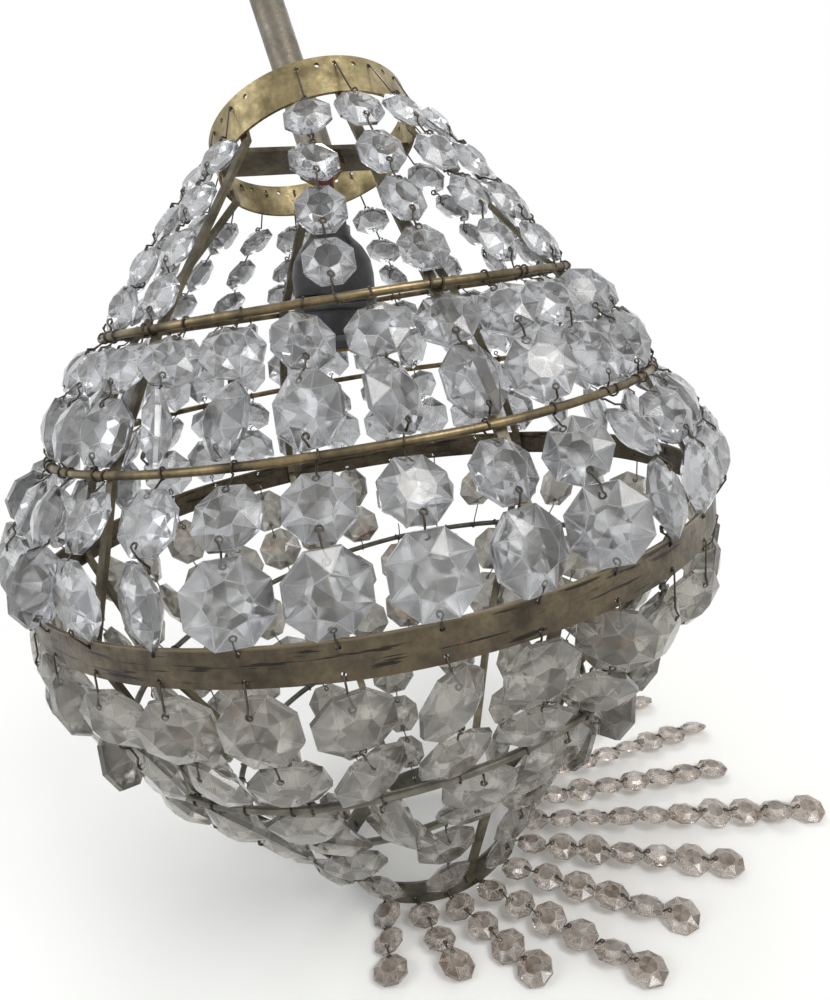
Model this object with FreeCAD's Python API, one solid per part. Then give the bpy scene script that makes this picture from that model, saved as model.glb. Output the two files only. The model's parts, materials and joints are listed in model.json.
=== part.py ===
import FreeCAD, Part
import math
import os

# Crystal chandelier: a wire and strip basket hung with octagon-cut crystals, round a pendant
# lampholder.  Millimetres, Z up.  The basket is drawn round the main band's centre, and every
# piece is moved at the end so that the origin is on the stem, where a ceiling coupler grips it.
# The frame is modelled as it hangs now, bent: the stem and crown lean, the lower hoops tip.

V = FreeCAD.Vector
UP = V(0, 0, 1)
os.makedirs("parts", exist_ok=True)

# ---- driving dimensions: frame -------------------------------------------------------------
band_diameter = 300.0        # main band, outside, the widest ring
band_height = 13.0
band_wall = 1.2
hoop_wire = 3.2              # round wire of the two brass hoops
lower_wire = 2.8             # wire of the two lower hoops
hoop_facets = 28             # short straights round each wire hoop
wire_sides = 6               # flats of a hoop's round section
band_facets = 48             # short straights round the bands
bottom_facets = 24
turned_sides = 20            # flats round the small mouldings
hoop_1_radius = 99.1
hoop_1_level = 98.0
hoop_2_radius = 129.4
hoop_2_level = 54.8
lower_1_radius = 128.3
lower_1_level = -56.7
lower_1_lean = 5.9           # degrees, towards lower_1_towards
lower_1_towards = 196.0
lower_2_radius = 89.7
lower_2_level = -106.0
lower_2_lean = 9.9
lower_2_towards = 177.0
bottom_radius = 43.5
bottom_level = -164.0
bottom_shift = -13.0         # the bent bottom band sits this far towards the front
bottom_height = 11.0
bottom_wall = 1.2
bottom_lean = 5.0
bottom_towards = 180.0

crown_diameter = 84.0        # outside
crown_height = 14.3
crown_wall = 1.2
crown_level = 162.0
crown_across = 1.3
crown_forward = -2.0
crown_lean = 21.2            # degrees, the stem leans with it
crown_towards = 113.4

strut_count = 6
strut_width = 4.0
strut_thick = 1.8
strut_first = 50.0           # azimuth of the first strut, degrees
strut_tab = 6.0              # the straight end that lies against a band
lap = 0.5                   # between a strut and the wire or band it is brazed to

# ---- driving dimensions: stem and lampholder -----------------------------------------------
stem_diameter = 14.0
stem_bore = 10.0
stem_length = 84.0
grip_depth = 10.0            # the coupler's middle, below the stem's top end
crossbar_width = 16.0
crossbar_thick = 2.0
crossbar_turn = 25.0         # azimuth that the crossbar runs along
nipple_bore = 8.0
nipple_hold = 12.0           # how far the nipple reaches up into the stem
nut_flats = 17.0
nut_height = 5.0
nipple_proud = 0.8           # the nipple's end below the nut
thread_fit = 0.05            # radial, in each screwed joint

cable_diameter = 7.0
cable_hang = 10.5            # from the pivot down to the cord grip
cable_end_diameter = 7.6     # its rounded top, which sits in the nipple's mouth
cable_gap = 0.3              # from that top to the nipple's edge
lamp_lean = 5.0              # degrees, towards -X
grip_diameter = 11.0
grip_height = 5.4
grip_groove = 1.2
cap_neck_diameter = 15.0
cap_diameter = 35.0
cap_height = 32.0
cap_wall = 2.6
collar_height = 6.0
collar_diameter = 35.6
collar_groove = 0.9
body_diameter = 32.0
body_height = 22.0
body_wall = 2.0
liner_bore = 22.4            # takes a bayonet bulb cap
liner_wall = 1.0
liner_height = 15.0
bayonet_slot = 2.6           # width of the two slots in the liner's mouth
bayonet_depth = 6.0
plunger_room = 0.4           # radial, the liner's wider part round the plungers
contact_thick = 4.0
contact_spacing = 11.0
plunger_diameter = 3.4
plunger_proud = 4.0
ring_diameter = 37.0         # shade ring
ring_height = 6.0
seat_gap = 0.1               # between screwed mouldings that seat face to face
turn_gap = 0.3               # round the shade ring, which turns

# ---- driving dimensions: crystals ----------------------------------------------------------
# widths over the flats of each row's crystals, from the top; longer strings start again
crown_flats = (16.0,)
upper_flats = (21.0, 24.5)
middle_flats = (22.0, 27.0)
skirt_flats = (24.5,)
bowl_flats = (23.5,)
base_flats = (24.0, 20.0, 17.0)
base_button = 18.0           # the small crystal at the foot of a drop
drop_flats = 23.0
strand_flats = 13.0
depth_share = 0.39           # a crystal's thickness, as a share of its width
table_share = 0.5            # the flat on a drop's front, as a share of its width
spear_length = 30.0
spear_width = 12.0
pin_wire = 1.0               # diameter of the wire of every pin
pin_clear = 0.25             # from a pin's end to the crystal or wire it is hooked on
pin_least = 1.5              # the shortest pin between two crystals
crown_link = 2.2             # the usual pin of each row; the row's crystals fill the rest
upper_pin = 2.4
middle_pin = 2.4
skirt_pin = 2.6
bowl_pin = 3.9
base_pin = 3.0
face_gap = 0.8               # from a band's face to the wire hooked on it
hole_inset = 2.4             # from a band's edge to its row of holes
hole_width = 2.0
edge_gap = 0.6               # from a band's edge to where its crystals' run ends

crown_strings = 18           # crown band to hoop 1
crown_facets = 2 * crown_strings
upper_strings = 30           # hoop 1 to hoop 2
band_strings = 32            # hoop 2 to the main band, and the band to lower hoop 1
bowl_strings = 24            # lower hoop 1 to lower hoop 2
base_strings = 12            # lower hoop 2 to the bottom band
crown_pin = 14.0             # the long pin that hangs a crown string down over its band
crown_bulge = 3.0            # how far each string bows out between its ends
upper_bulge = 4.5
middle_bulge = 8.0
lower_bulge = 5.0
twist_free = 50.0            # degrees a crystal may hang turned on its pins
twist_held = 8.0             # the same in front of a strut
strut_reach = 17.0           # a crystal nearer to a strut than this hangs nearly flat

crown_gap = (12,)            # places in the crown row that hang empty
base_drop = 5.6              # how far the base crystals hang down over the bottom band
drop_places = (31, 0, 16, 17)   # lower holes of the band with a free drop, not a string
drop_pin = 4.0
drop_link = 3.0

# Free strands on the bottom band, which lie fanned out on the surface below:
# (azimuth of the eye on the band, direction the strand lies in, crystals on it)
strands = (
    (-125.0, -90.0, 3),
    (-106.0, -68.0, 3),
    (-87.0, -55.0, 4),
    (-68.0, -44.0, 6),
    (-49.0, -32.0, 6),
    (-30.0, -19.0, 7),
    (-11.0, -9.0, 10),
    (8.0, 3.0, 8),
    (27.0, 14.0, 9),
    (46.0, 26.0, 9),
)
strand_pitch = 14.6
eye_gap = 0.8                # from the bottom band's face to a strand's eye
strand_lead = 3.4            # from a strand's eye to its first crystal
strand_twist = 14.0


def direction(azimuth):
    """The level direction at an azimuth in degrees, from +X towards +Y."""
    turn = math.radians(azimuth)
    return V(math.cos(turn), math.sin(turn), 0)


def unit(vector):
    """A copy of a vector, one long."""
    return vector * (1.0 / vector.Length)


def scatter(number):
    """A repeatable value from -1 to 1, for pieces that hang each a little differently."""
    return 2.0 * ((math.sin(number * 12.9898) * 43758.5453) % 1.0) - 1.0


class Ring:
    """A hoop or band: its circle's centre and radius, and how far its plane leans.

    It is bent in short straight facets, which points on it follow; corner is the azimuth
    of their first bend.
    """

    def __init__(self, radius, centre, lean=0.0, towards=0.0, facets=0, corner=0.0):
        self.radius = radius
        self.centre = centre
        self.facets = facets
        self.corner = corner
        self.turn = FreeCAD.Rotation(direction(towards + 90.0), lean)
        self.axis = self.turn.multVec(UP)

    def at(self, azimuth, out=0.0, up=0.0):
        """The point at an azimuth, moved outward and along the ring's axis."""
        reach = self.radius
        if self.facets:
            half = math.pi / self.facets
            off = math.radians(azimuth - self.corner) % (2 * half) - half
            reach = reach * math.cos(half) / math.cos(off)
        return self.centre + self.turn.multVec(direction(azimuth) * (reach + out) + UP * up)

    def place(self, shape):
        """A shape drawn round the Z axis, set at this ring."""
        shape.Placement = FreeCAD.Placement(self.centre, self.turn).multiply(shape.Placement)
        return shape


band = Ring(band_diameter / 2, V(0, 0, 0), facets=band_facets)
hoop_1 = Ring(hoop_1_radius, V(0, 0, hoop_1_level), facets=hoop_facets)
hoop_2 = Ring(hoop_2_radius, V(0, 0, hoop_2_level), facets=hoop_facets)
lower_1 = Ring(lower_1_radius, V(0, 0, lower_1_level), lower_1_lean, lower_1_towards, hoop_facets)
lower_2 = Ring(lower_2_radius, V(0, 0, lower_2_level), lower_2_lean, lower_2_towards, hoop_facets)
bottom = Ring(bottom_radius, V(0, bottom_shift, bottom_level), bottom_lean, bottom_towards,
              bottom_facets)
crown_centre = V(crown_across, crown_forward, crown_level)
crown = Ring(crown_diameter / 2, crown_centre, crown_lean, crown_towards, crown_facets,
             corner=180.0 / crown_facets)

crossbar_top = -crown_height / 2 + crossbar_thick
stem_top = crown.centre + crown.axis * (crossbar_top + stem_length)
origin = stem_top - crown.axis * grip_depth


def save(node, *solids):
    """Write one node's solids, moved to the part's origin."""
    moved = []
    for solid in solids:
        copy = solid.copy()
        copy.translate(origin * -1.0)
        moved.append(copy)
    shape = moved[0] if len(moved) == 1 else Part.makeCompound(moved)
    shape.exportStep("parts/" + node + ".step")


def solid_of(faces):
    """A solid from the polygons of its faces."""
    shell = Part.Shell([Part.Face(Part.makePolygon(face + face[:1])) for face in faces])
    solid = Part.Solid(shell)
    if solid.Volume < 0:
        solid.reverse()
    return solid


def turned(profile, sides=turned_sides):
    """A moulding round Z, with small flats round it, from (radius, height) points."""
    step = 360.0 / sides
    faces = []
    for start, end in zip(profile, profile[1:] + profile[:1]):
        if start[0] == 0 and end[0] == 0:
            continue
        for side in range(sides):
            first = direction(step * side)
            second = direction(step * (side + 1))
            corners = [first * start[0] + UP * start[1], second * start[0] + UP * start[1],
                       second * end[0] + UP * end[1], first * end[0] + UP * end[1]]
            if start[0] == 0:
                corners.pop(1)
            elif end[0] == 0:
                corners.pop(2)
            faces.append(corners)
    return solid_of(faces)


def post(radius, low, high, sides=turned_sides):
    """A plain post round Z, with flats round it."""
    return turned([(0, low), (radius, low), (radius, high), (0, high)], sides)


def tube(outer, inner, low, high):
    """A plain tube about Z, by its radii and levels."""
    body = Part.makeCylinder(outer, high - low, V(0, 0, low))
    return body.cut(Part.makeCylinder(inner, high - low, V(0, 0, low)))


# ---- frame -----------------------------------------------------------------------------------
def bent(ring, section):
    """A bar bent round a ring in facets; section is its corners, as (out, up)."""
    def corner(step, place):
        out, up = section[place % len(section)]
        return ring.at(ring.corner + 360.0 * step / ring.facets, out, up)

    faces = []
    for step in range(ring.facets):
        for place in range(len(section)):
            faces.append([corner(step, place), corner(step + 1, place),
                          corner(step + 1, place + 1), corner(step, place + 1)])
    return solid_of(faces)


def wire_reach(wire):
    """From the middle of a hoop's wire to the corners of its section."""
    return wire / 2 / math.cos(math.pi / wire_sides)


def wire_hoop(ring, wire):
    """A wire hoop, its round section faceted too."""
    section = []
    for side in range(wire_sides):
        corner = direction(360.0 * (side + 0.5) / wire_sides) * wire_reach(wire)
        section.append((corner.x, corner.y))
    return bent(ring, section)


def flat_band(ring, wall, height):
    """A strip rolled to a ring, its outside at the ring's radius."""
    half = height / 2
    return bent(ring, [(-wall, -half), (0.0, -half), (0.0, half), (-wall, half)])


def pierced(shape, ring, azimuths, level):
    """A band with a row of small square holes for its pins."""
    half = hole_width / 2
    for azimuth in azimuths:
        middle = ring.at(azimuth, 0.0, level)
        out = ring.turn.multVec(direction(azimuth))
        across = ring.axis.cross(out)
        corners = [middle + out + across * (side * half) + ring.axis * (up * half)
                   for side, up in ((-1, -1), (1, -1), (1, 1), (-1, 1))]
        hole = Part.Face(Part.makePolygon(corners + corners[:1])).extrude(out * -(band_wall + 2.0))
        shape = shape.cut(hole)
    return shape


def strip(points, azimuth):
    """A flat strip along points, mitred at its bends."""
    along = unit(points[1] - points[0])
    across = direction(azimuth + 90.0)
    out = unit(across.cross(along))
    corners = []
    for side, depth in ((-1, -1), (1, -1), (1, 1), (-1, 1)):
        corners.append(points[0] + across * (side * strut_width / 2) + out * (depth * strut_thick / 2))
    profile = Part.makePolygon(corners + corners[:1])
    return Part.makePolygon(points).makePipeShell([profile], True, False, 1)


def strut(azimuth, seats):
    """One strip against several rings: each seat is a ring, a depth inside it and a level."""
    spots = [ring.at(azimuth, 0.0, up) for ring, depth, up in seats]
    inward = direction(azimuth) * -1.0
    normals = []
    for spot, after in zip(spots, spots[1:]):
        run = unit(after - spot)
        normals.append(unit(inward - run * inward.dot(run)))
    points = []
    for number, (ring, depth, up) in enumerate(seats):
        before = normals[max(number - 1, 0)]
        after = normals[min(number, len(normals) - 1)]
        points.append(spots[number] + (before + after) * (depth / (1.0 + before.dot(after))))
    return strip(points, azimuth)


def struts(seats):
    """The same strip at every strut's azimuth."""
    step = 360.0 / strut_count
    return [strut(strut_first + step * number, seats) for number in range(strut_count)]


main_band = flat_band(band, band_wall, band_height)
crown_holes = [360.0 * (number + 0.5) / crown_strings for number in range(crown_strings)]
crown_band = pierced(flat_band(crown, crown_wall, crown_height), crown, crown_holes,
                     crown_height / 2 - hole_inset)
bottom_band = flat_band(bottom, bottom_wall, bottom_height)
save("main_band", main_band)
save("crown_band", crown_band)
save("bottom_band", bottom_band)
save("hoop_1", wire_hoop(hoop_1, hoop_wire))
save("hoop_2", wire_hoop(hoop_2, hoop_wire))
save("lower_hoop_1", wire_hoop(lower_1, lower_wire))
save("lower_hoop_2", wire_hoop(lower_2, lower_wire))
strut_half = lap + strut_thick / 2
save("upper_struts", *struts((
    (crown, crown_wall + strut_half, strut_tab / 2 - crown_height / 2),
    (crown, crown_wall + strut_half, -strut_thick / 3 - crown_height / 2),
    (hoop_1, hoop_wire / 2 + strut_half, 0.0),
    (hoop_2, hoop_wire / 2 + strut_half, 0.0),
    (band, band_wall + strut_half, strut_tab / 2),
    (band, band_wall + strut_half, lap),
)))
save("lower_struts", *struts((
    (band, band_wall + strut_half, -lap),
    (band, band_wall + strut_half, -strut_tab / 2),
    (lower_1, lower_wire / 2 + strut_half, 0.0),
    (lower_2, lower_wire / 2 + strut_half, 0.0),
    (bottom, -strut_half, strut_tab / 2),
    (bottom, -strut_half, -strut_tab / 4),
)))

# ---- stem and crossbar, drawn along Z and set at the crown -------------------------------------
crown_inside = (crown_diameter / 2 - crown_wall) * math.cos(math.pi / crown_facets) - seat_gap
crossbar_low = crossbar_top - crossbar_thick
half_width = crossbar_width / 2
bar = Part.makeBox(2 * crown_inside, crossbar_width, crossbar_thick,
                   V(-crown_inside, -half_width, crossbar_low))
bar = bar.common(Part.makeCylinder(crown_inside, crossbar_thick, V(0, 0, crossbar_low)))
bar = bar.cut(Part.makeCylinder(stem_bore / 2 + thread_fit, crossbar_thick, V(0, 0, crossbar_low)))
bar.rotate(V(0, 0, 0), UP, crossbar_turn)
save("crossbar", crown.place(bar))

stem = tube(stem_diameter / 2, stem_bore / 2, crossbar_top, crossbar_top + stem_length)
save("stem_tube", crown.place(stem))

nut_low = crossbar_low - nut_height
nipple_low = nut_low - nipple_proud
nipple_top = crossbar_top + nipple_hold
save("stem_nipple", crown.place(turned((
    (nipple_bore / 2, nipple_low), (stem_bore / 2 - thread_fit, nipple_low),
    (stem_bore / 2 - thread_fit, nipple_top), (nipple_bore / 2, nipple_top),
))))

nut_reach = nut_flats / 2 / math.cos(math.radians(30))
corners = [direction(60.0 * side) * nut_reach + UP * nut_low for side in range(6)]
nut = Part.Face(Part.makePolygon(corners + corners[:1])).extrude(UP * nut_height)
nut = nut.cut(Part.makeCylinder(stem_bore / 2, nut_height, V(0, 0, nut_low)))
save("stem_nut", crown.place(nut))

# ---- lampholder, drawn down from its pivot and leaned about it ---------------------------------
cable_end = cable_end_diameter / 2
pivot_depth = math.sqrt((cable_end + cable_gap) ** 2 - (nipple_bore / 2) ** 2)
pivot_drop = nut_low - nipple_proud - pivot_depth
pivot = crown.centre + crown.axis * pivot_drop
lamp = Ring(0.0, pivot, lamp_lean)

grip_top = -cable_hang
cap_top = grip_top - grip_height
cap_low = cap_top - cap_height
collar_low = cap_low - collar_height
body_low = collar_low - body_height
ring_low = body_low

cable = [(0, grip_top), (cable_diameter / 2, grip_top)]
for rise in (-20.0, 5.0, 35.0, 65.0):
    cable.append((cable_end * math.cos(math.radians(rise)), cable_end * math.sin(math.radians(rise))))
cable.append((0, cable_end))
save("lamp_cable", lamp.place(turned(cable, 12)))

grip_radius = grip_diameter / 2
middle = grip_top - grip_height / 2
save("cord_grip", lamp.place(turned((
    (0, grip_top), (grip_radius - grip_groove, grip_top), (grip_radius, grip_top - 0.8),
    (grip_radius, middle + 0.9), (grip_radius - grip_groove, middle),
    (grip_radius, middle - 0.9), (grip_radius, cap_top + 0.8),
    (grip_radius - grip_groove, cap_top), (0, cap_top),
), 16)))

neck = cap_neck_diameter / 2
cap_radius = cap_diameter / 2
shoulder = cap_top - 0.3 * cap_height
skirt = cap_top - 0.75 * cap_height
save("lampholder_cap", lamp.place(turned((
    (0, cap_top), (neck, cap_top), (neck + 1.0, shoulder + 3.0), (cap_radius - 5.0, shoulder - 4.0),
    (cap_radius, skirt), (cap_radius, cap_low), (cap_radius - cap_wall, cap_low),
    (cap_radius - cap_wall, skirt), (0, shoulder - 4.0 - cap_wall),
))))

body_radius = body_diameter / 2
collar_radius = collar_diameter / 2
collar_top = cap_low - seat_gap
groove = (collar_top + collar_low) / 2
save("lampholder_collar", lamp.place(turned((
    (body_radius + turn_gap, collar_low), (body_radius + turn_gap, collar_top),
    (collar_radius, collar_top), (collar_radius, groove + collar_groove),
    (collar_radius - collar_groove, groove), (collar_radius, groove - collar_groove),
    (collar_radius, collar_low),
))))

block_top = cap_low - seat_gap - 0.2
block_low = block_top - contact_thick
body_inside = body_radius - body_wall
body_top = cap_low - seat_gap
body = Part.makeCylinder(body_radius, body_top - body_low, V(0, 0, body_low))
save("lampholder_body", lamp.place(body.cut(post(body_inside, body_low, body_top))))

# two sprung plungers in the contact block, clear of the bulb's cap in the liner below
block = post(body_inside - seat_gap, block_low, block_top)
plunger_hold = contact_thick - 1.0
plungers = []
for side in (-1, 1):
    plunger = post(plunger_diameter / 2, block_low - plunger_proud, block_low + plunger_hold, 8)
    room = post(plunger_diameter / 2 + seat_gap, block_low, block_low + plunger_hold + seat_gap, 8)
    for piece in (plunger, room):
        piece.translate(V(side * contact_spacing / 2, 0, 0))
    block = block.cut(room)
    plungers.append(lamp.place(plunger))
save("contact_block", lamp.place(block))
save("contact_plungers", *plungers)

# the liner: a flange under the block, a wider part round the plungers, then the cap's bore
liner_top = block_low - seat_gap
bore_top = liner_top - plunger_proud
liner_low = bore_top - liner_height
liner_out = liner_bore / 2 + liner_wall
flange_low = liner_top - 1.2
liner = turned((
    (0, liner_low), (liner_out, liner_low), (liner_out, flange_low),
    (body_inside - seat_gap, flange_low), (body_inside - seat_gap, liner_top), (0, liner_top),
))
liner = liner.cut(Part.makeCylinder(liner_bore / 2, liner_height, V(0, 0, liner_low)))
liner = liner.cut(post(liner_bore / 2 + plunger_room, bore_top, liner_top))
for turn in (45.0, 225.0):
    slot = Part.makeBox(liner_out, bayonet_slot, bayonet_depth, V(0, -bayonet_slot / 2, liner_low))
    slot.rotate(V(0, 0, 0), UP, turn)
    liner = liner.cut(slot)
save("socket_liner", lamp.place(liner))

ring_radius = ring_diameter / 2
ring_top = ring_low + ring_height
shade_ring = turned((
    (0, ring_low), (ring_radius, ring_low), (ring_radius, ring_top - 2.0),
    (body_radius + 1.5, ring_top), (0, ring_top),
))
ring_bore = Part.makeCylinder(body_radius + turn_gap, ring_height, V(0, 0, ring_low))
save("shade_ring", lamp.place(shade_ring.cut(ring_bore)))


# ---- crystals and pins -----------------------------------------------------------------------
def octagon(flats, level):
    """The corners of an octagon with a flat on each of its four sides."""
    reach = flats / 2 / math.cos(math.radians(22.5))
    return [direction(22.5 + 45.0 * side) * reach + UP * level for side in range(8)]


def octagon_crystal(flats):
    """An octagon-cut crystal: a flat table in front, a point behind, a sharp edge between."""
    half = flats * depth_share / 2
    edge = octagon(flats, 0.0)
    table = octagon(flats * table_share, half)
    point = V(0, 0, -half)
    faces = [table]
    for side in range(8):
        after = (side + 1) % 8
        faces.append([edge[side], edge[after], table[after], table[side]])
        faces.append([edge[after], edge[side], point])
    return solid_of(faces)


def button_crystal(flats):
    """An octagon crystal, cut to a low point on both faces."""
    half = flats * depth_share / 2
    edge = octagon(flats, 0.0)
    faces = []
    for side in range(8):
        after = (side + 1) % 8
        faces.append([edge[side], edge[after], V(0, 0, half)])
        faces.append([edge[after], edge[side], V(0, 0, -half)])
    return solid_of(faces)


def spear_crystal(length, width):
    """A spear drop: six sides, short above its widest place and long below."""
    ring = [direction(60.0 * side) * (width / 2) for side in range(6)]
    ring = [V(point.x, length / 2 - width / 2, point.y * 0.6) for point in ring]
    faces = []
    for side in range(6):
        after = (side + 1) % 6
        faces.append([ring[side], ring[after], V(0, length / 2, 0)])
        faces.append([ring[after], ring[side], V(0, -length / 2, 0)])
    return solid_of(faces)


def hang(crystal, centre, along, facing):
    """A crystal set on a string: its Y along the string, its Z the way it faces."""
    copy = crystal.copy()
    level = unit(facing - along * facing.dot(along))
    turn = FreeCAD.Rotation(along.cross(level), along, level, "YZX")
    copy.Placement = FreeCAD.Placement(centre, turn)
    return copy


def pin(start, end, lead=pin_clear):
    """A pin's wire from one piece to the next, clear of both by its own clearance."""
    along = unit(end - start)
    side = unit(along.cross(V(0.3, 0.2, 1.0)))
    other = along.cross(side)
    first = start + along * lead
    corners = []
    for number in range(3):
        turn = math.radians(120.0 * number)
        corners.append(first + (side * math.cos(turn) + other * math.sin(turn)) * (pin_wire / 2))
    length = (end - start).Length - lead - pin_clear
    return Part.Face(Part.makePolygon(corners + corners[:1])).extrude(along * length)


def strut_distance(azimuth, radius):
    """How far round a ring the nearest strut is."""
    step = 360.0 / strut_count
    off = (azimuth - strut_first) % step
    return math.radians(min(off, step - off)) * radius


def bowed(length, bulge):
    """The length of a shallow bow over a straight run."""
    return length + 8.0 * bulge * bulge / (3.0 * length)


def pattern(flats, count):
    """The first crystals of a string, by width; a long string starts its list again."""
    return [flats[number % len(flats)] for number in range(count)]


def taken(flats, count, link):
    """The length that some crystals take with pins between and at both ends."""
    return sum(pattern(flats, count)) + (count + 1) * link


def string(cut, sizes, start, end, out, seed, twist, bulge, first_hold, last_hold):
    """Crystals and pins between two points, bowed out a little between them.

    The crystals share the run from start to end evenly; the first and last pins go on to
    the points that hold them.
    """
    length = bowed((end - start).Length, bulge)
    gap = (length - sum(sizes)) / (len(sizes) + 1)

    def path(reach):
        share = reach / length
        return start + (end - start) * share + out * (4.0 * bulge * share * (1.0 - share))

    crystals = []
    pins = []
    last = first_hold
    reach = gap
    for number, size in enumerate(sizes):
        top = path(reach)
        low = path(reach + size)
        along = unit(top - low)
        centre = (top + low) * 0.5
        turn = FreeCAD.Rotation(along, twist * scatter(seed + 7.0 * number))
        crystals.append(hang(cut[size], centre, along, turn.multVec(out)))
        pins.append(pin(last, centre + along * (size / 2)))
        last = centre - along * (size / 2)
        reach += size + gap
    pins.append(pin(last, last_hold))
    return crystals, pins


class Hook:
    """Where strings hook on round a ring: on its wire, or at the holes of a band.

    reach is the wire's half thickness; up is the holes' level; clear is how far out and at
    what level the crystals' run ends.
    """

    def __init__(self, ring, reach=0.0, out=0.0, up=0.0, clear=None):
        self.ring = ring
        self.reach = reach
        self.out = out
        self.up = up
        self.clear = clear or (out, up)

    def spot(self, azimuth):
        return self.ring.at(azimuth, self.out, self.up)

    def edge(self, azimuth, target):
        """Where the crystals' run ends, on the side that faces a target."""
        spot = self.ring.at(azimuth, *self.clear)
        return spot + unit(target - spot) * self.reach

    def hold(self, azimuth, target):
        """Where the last pin ends: in a band's hole, or on the wire itself."""
        return self.spot(azimuth) if self.reach == 0.0 else self.edge(azimuth, target)


def on_wire(ring, wire):
    """Hooks round a wire hoop, on the outside of its faceted section."""
    return Hook(ring, reach=wire_reach(wire))


def on_band(ring, height, edge):
    """Hooks at a band's upper (edge 1) or lower (edge -1) row of holes."""
    return Hook(ring, out=face_gap, up=edge * (height / 2 - hole_inset),
                clear=(face_gap, edge * (height / 2 + edge_gap)))


def string_row(flats, upper, lower, strings, first, link, bulge=0.0, skip=()):
    """Strings of crystals from one ring to the next, all round; skip lists those left out.

    The row's crystals keep the proportions of flats, and are scaled to fill the usual
    string with pins of length link.  Where a ring tips away, the pins take up the difference.
    """
    runs = []
    for number in range(strings):
        azimuth = first + 360.0 * number / strings
        start = upper.edge(azimuth, lower.spot(azimuth))
        end = lower.edge(azimuth, upper.spot(azimuth))
        runs.append((azimuth, start, end, bowed((end - start).Length, bulge)))
    usual = sum(run[3] for run in runs) / strings
    share = 1
    while taken(flats, share + 1, link) - usual < usual - taken(flats, share, link):
        share += 1
    scale = (usual - (share + 1) * link) / sum(pattern(flats, share))
    sizes = [width * scale for width in flats]
    cut = {size: button_crystal(size) for size in sizes}
    crystals = []
    pins = []
    for number, (azimuth, start, end, length) in enumerate(runs):
        if number in skip:
            continue
        count = 1
        while taken(sizes, count + 1, pin_least) <= length:
            count += 1
        near = strut_distance(azimuth, min(upper.ring.radius, lower.ring.radius)) < strut_reach
        some, wires = string(cut, pattern(sizes, count), start, end, direction(azimuth),
                             number + first, twist_held if near else twist_free, bulge,
                             upper.hold(azimuth, end), lower.hold(azimuth, start))
        crystals.extend(some)
        pins.extend(wires)
    return crystals, pins


drop_octagon = octagon_crystal(drop_flats)
base_octagon = button_crystal(base_button)
strand_octagon = button_crystal(strand_flats)
spear = spear_crystal(spear_length, spear_width)
spread = 180.0 / band_strings     # the band's strings hang half their spacing off azimuth 0

# ---- crown strings: each hangs outside its band on a long pin, then runs down to hoop 1 --------
crown_hook = Hook(crown, out=face_gap, up=crown_height / 2 - hole_inset,
                  clear=(face_gap + crown_flats[0] * depth_share / 2, crown_height / 2 - crown_pin))
hoop_1_hook = on_wire(hoop_1, hoop_wire)
crown_crystals, crown_pins = string_row(
    crown_flats, crown_hook, hoop_1_hook, crown_strings, 180.0 / crown_strings, crown_link,
    crown_bulge, crown_gap)
save("crown_crystals", *crown_crystals)
save("crown_pins", *crown_pins)

# ---- strings between the hoops -----------------------------------------------------------------
hoop_2_hook = on_wire(hoop_2, hoop_wire)
upper_crystals, upper_pins = string_row(
    upper_flats, hoop_1_hook, hoop_2_hook, upper_strings, 0.0, upper_pin, upper_bulge)
save("upper_crystals", *upper_crystals)
save("upper_pins", *upper_pins)

middle_crystals, middle_pins = string_row(
    middle_flats, hoop_2_hook, on_band(band, band_height, 1), band_strings, spread,
    middle_pin, middle_bulge)
save("middle_crystals", *middle_crystals)
save("middle_pins", *middle_pins)

lower_1_hook = on_wire(lower_1, lower_wire)
lower_2_hook = on_wire(lower_2, lower_wire)
skirt_crystals, skirt_pins = string_row(
    skirt_flats, on_band(band, band_height, -1), lower_1_hook, band_strings, spread,
    skirt_pin, lower_bulge, drop_places)
bowl_crystals, bowl_pins = string_row(
    bowl_flats, lower_1_hook, lower_2_hook, bowl_strings, 10.0, bowl_pin, lower_bulge)
bottom_hook = Hook(bottom, out=face_gap, up=bottom_height / 2 - hole_inset - base_drop / 2,
                   clear=(face_gap + base_flats[-1] * depth_share / 2,
                          bottom_height / 2 - base_drop))
base_crystals, base_pins = string_row(
    base_flats, lower_2_hook, bottom_hook, base_strings, 5.0, base_pin)
save("skirt_crystals", *skirt_crystals)
save("bowl_crystals", *bowl_crystals)
save("base_crystals", *base_crystals)
save("lower_pins", *skirt_pins, *bowl_pins, *base_pins)

# ---- free drops on the band's lower holes --------------------------------------------------------
print("joint", "name", "pos_m", "axis")


def place_words(point):
    """A point from the part's origin, in metres, for the record of its joints."""
    moved = (point - origin) * 0.001
    return [round(moved.x, 6), round(moved.y, 6), round(moved.z, 6)]


drop_hook = Hook(band, out=face_gap, up=hole_inset - band_height / 2)
for number, place in enumerate(drop_places, 1):
    azimuth = spread + 360.0 * place / band_strings
    eye = drop_hook.spot(azimuth)
    out = direction(azimuth)
    first_top = eye - UP * drop_pin
    first_low = first_top - UP * drop_flats
    second, length = (spear, spear_length) if number % 2 else (base_octagon, base_button)
    second_top = first_low - UP * drop_link
    turn = FreeCAD.Rotation(UP, 20.0 * scatter(number))
    save("drop_%d_crystals" % number,
         hang(drop_octagon, first_top - UP * (drop_flats / 2), UP, out),
         hang(second, second_top - UP * (length / 2), UP, turn.multVec(out)))
    save("drop_%d_pins" % number, pin(eye, first_top), pin(first_low, second_top))
    print("drop_%d" % number, place_words(eye), list(direction(azimuth - 90.0)))

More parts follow.
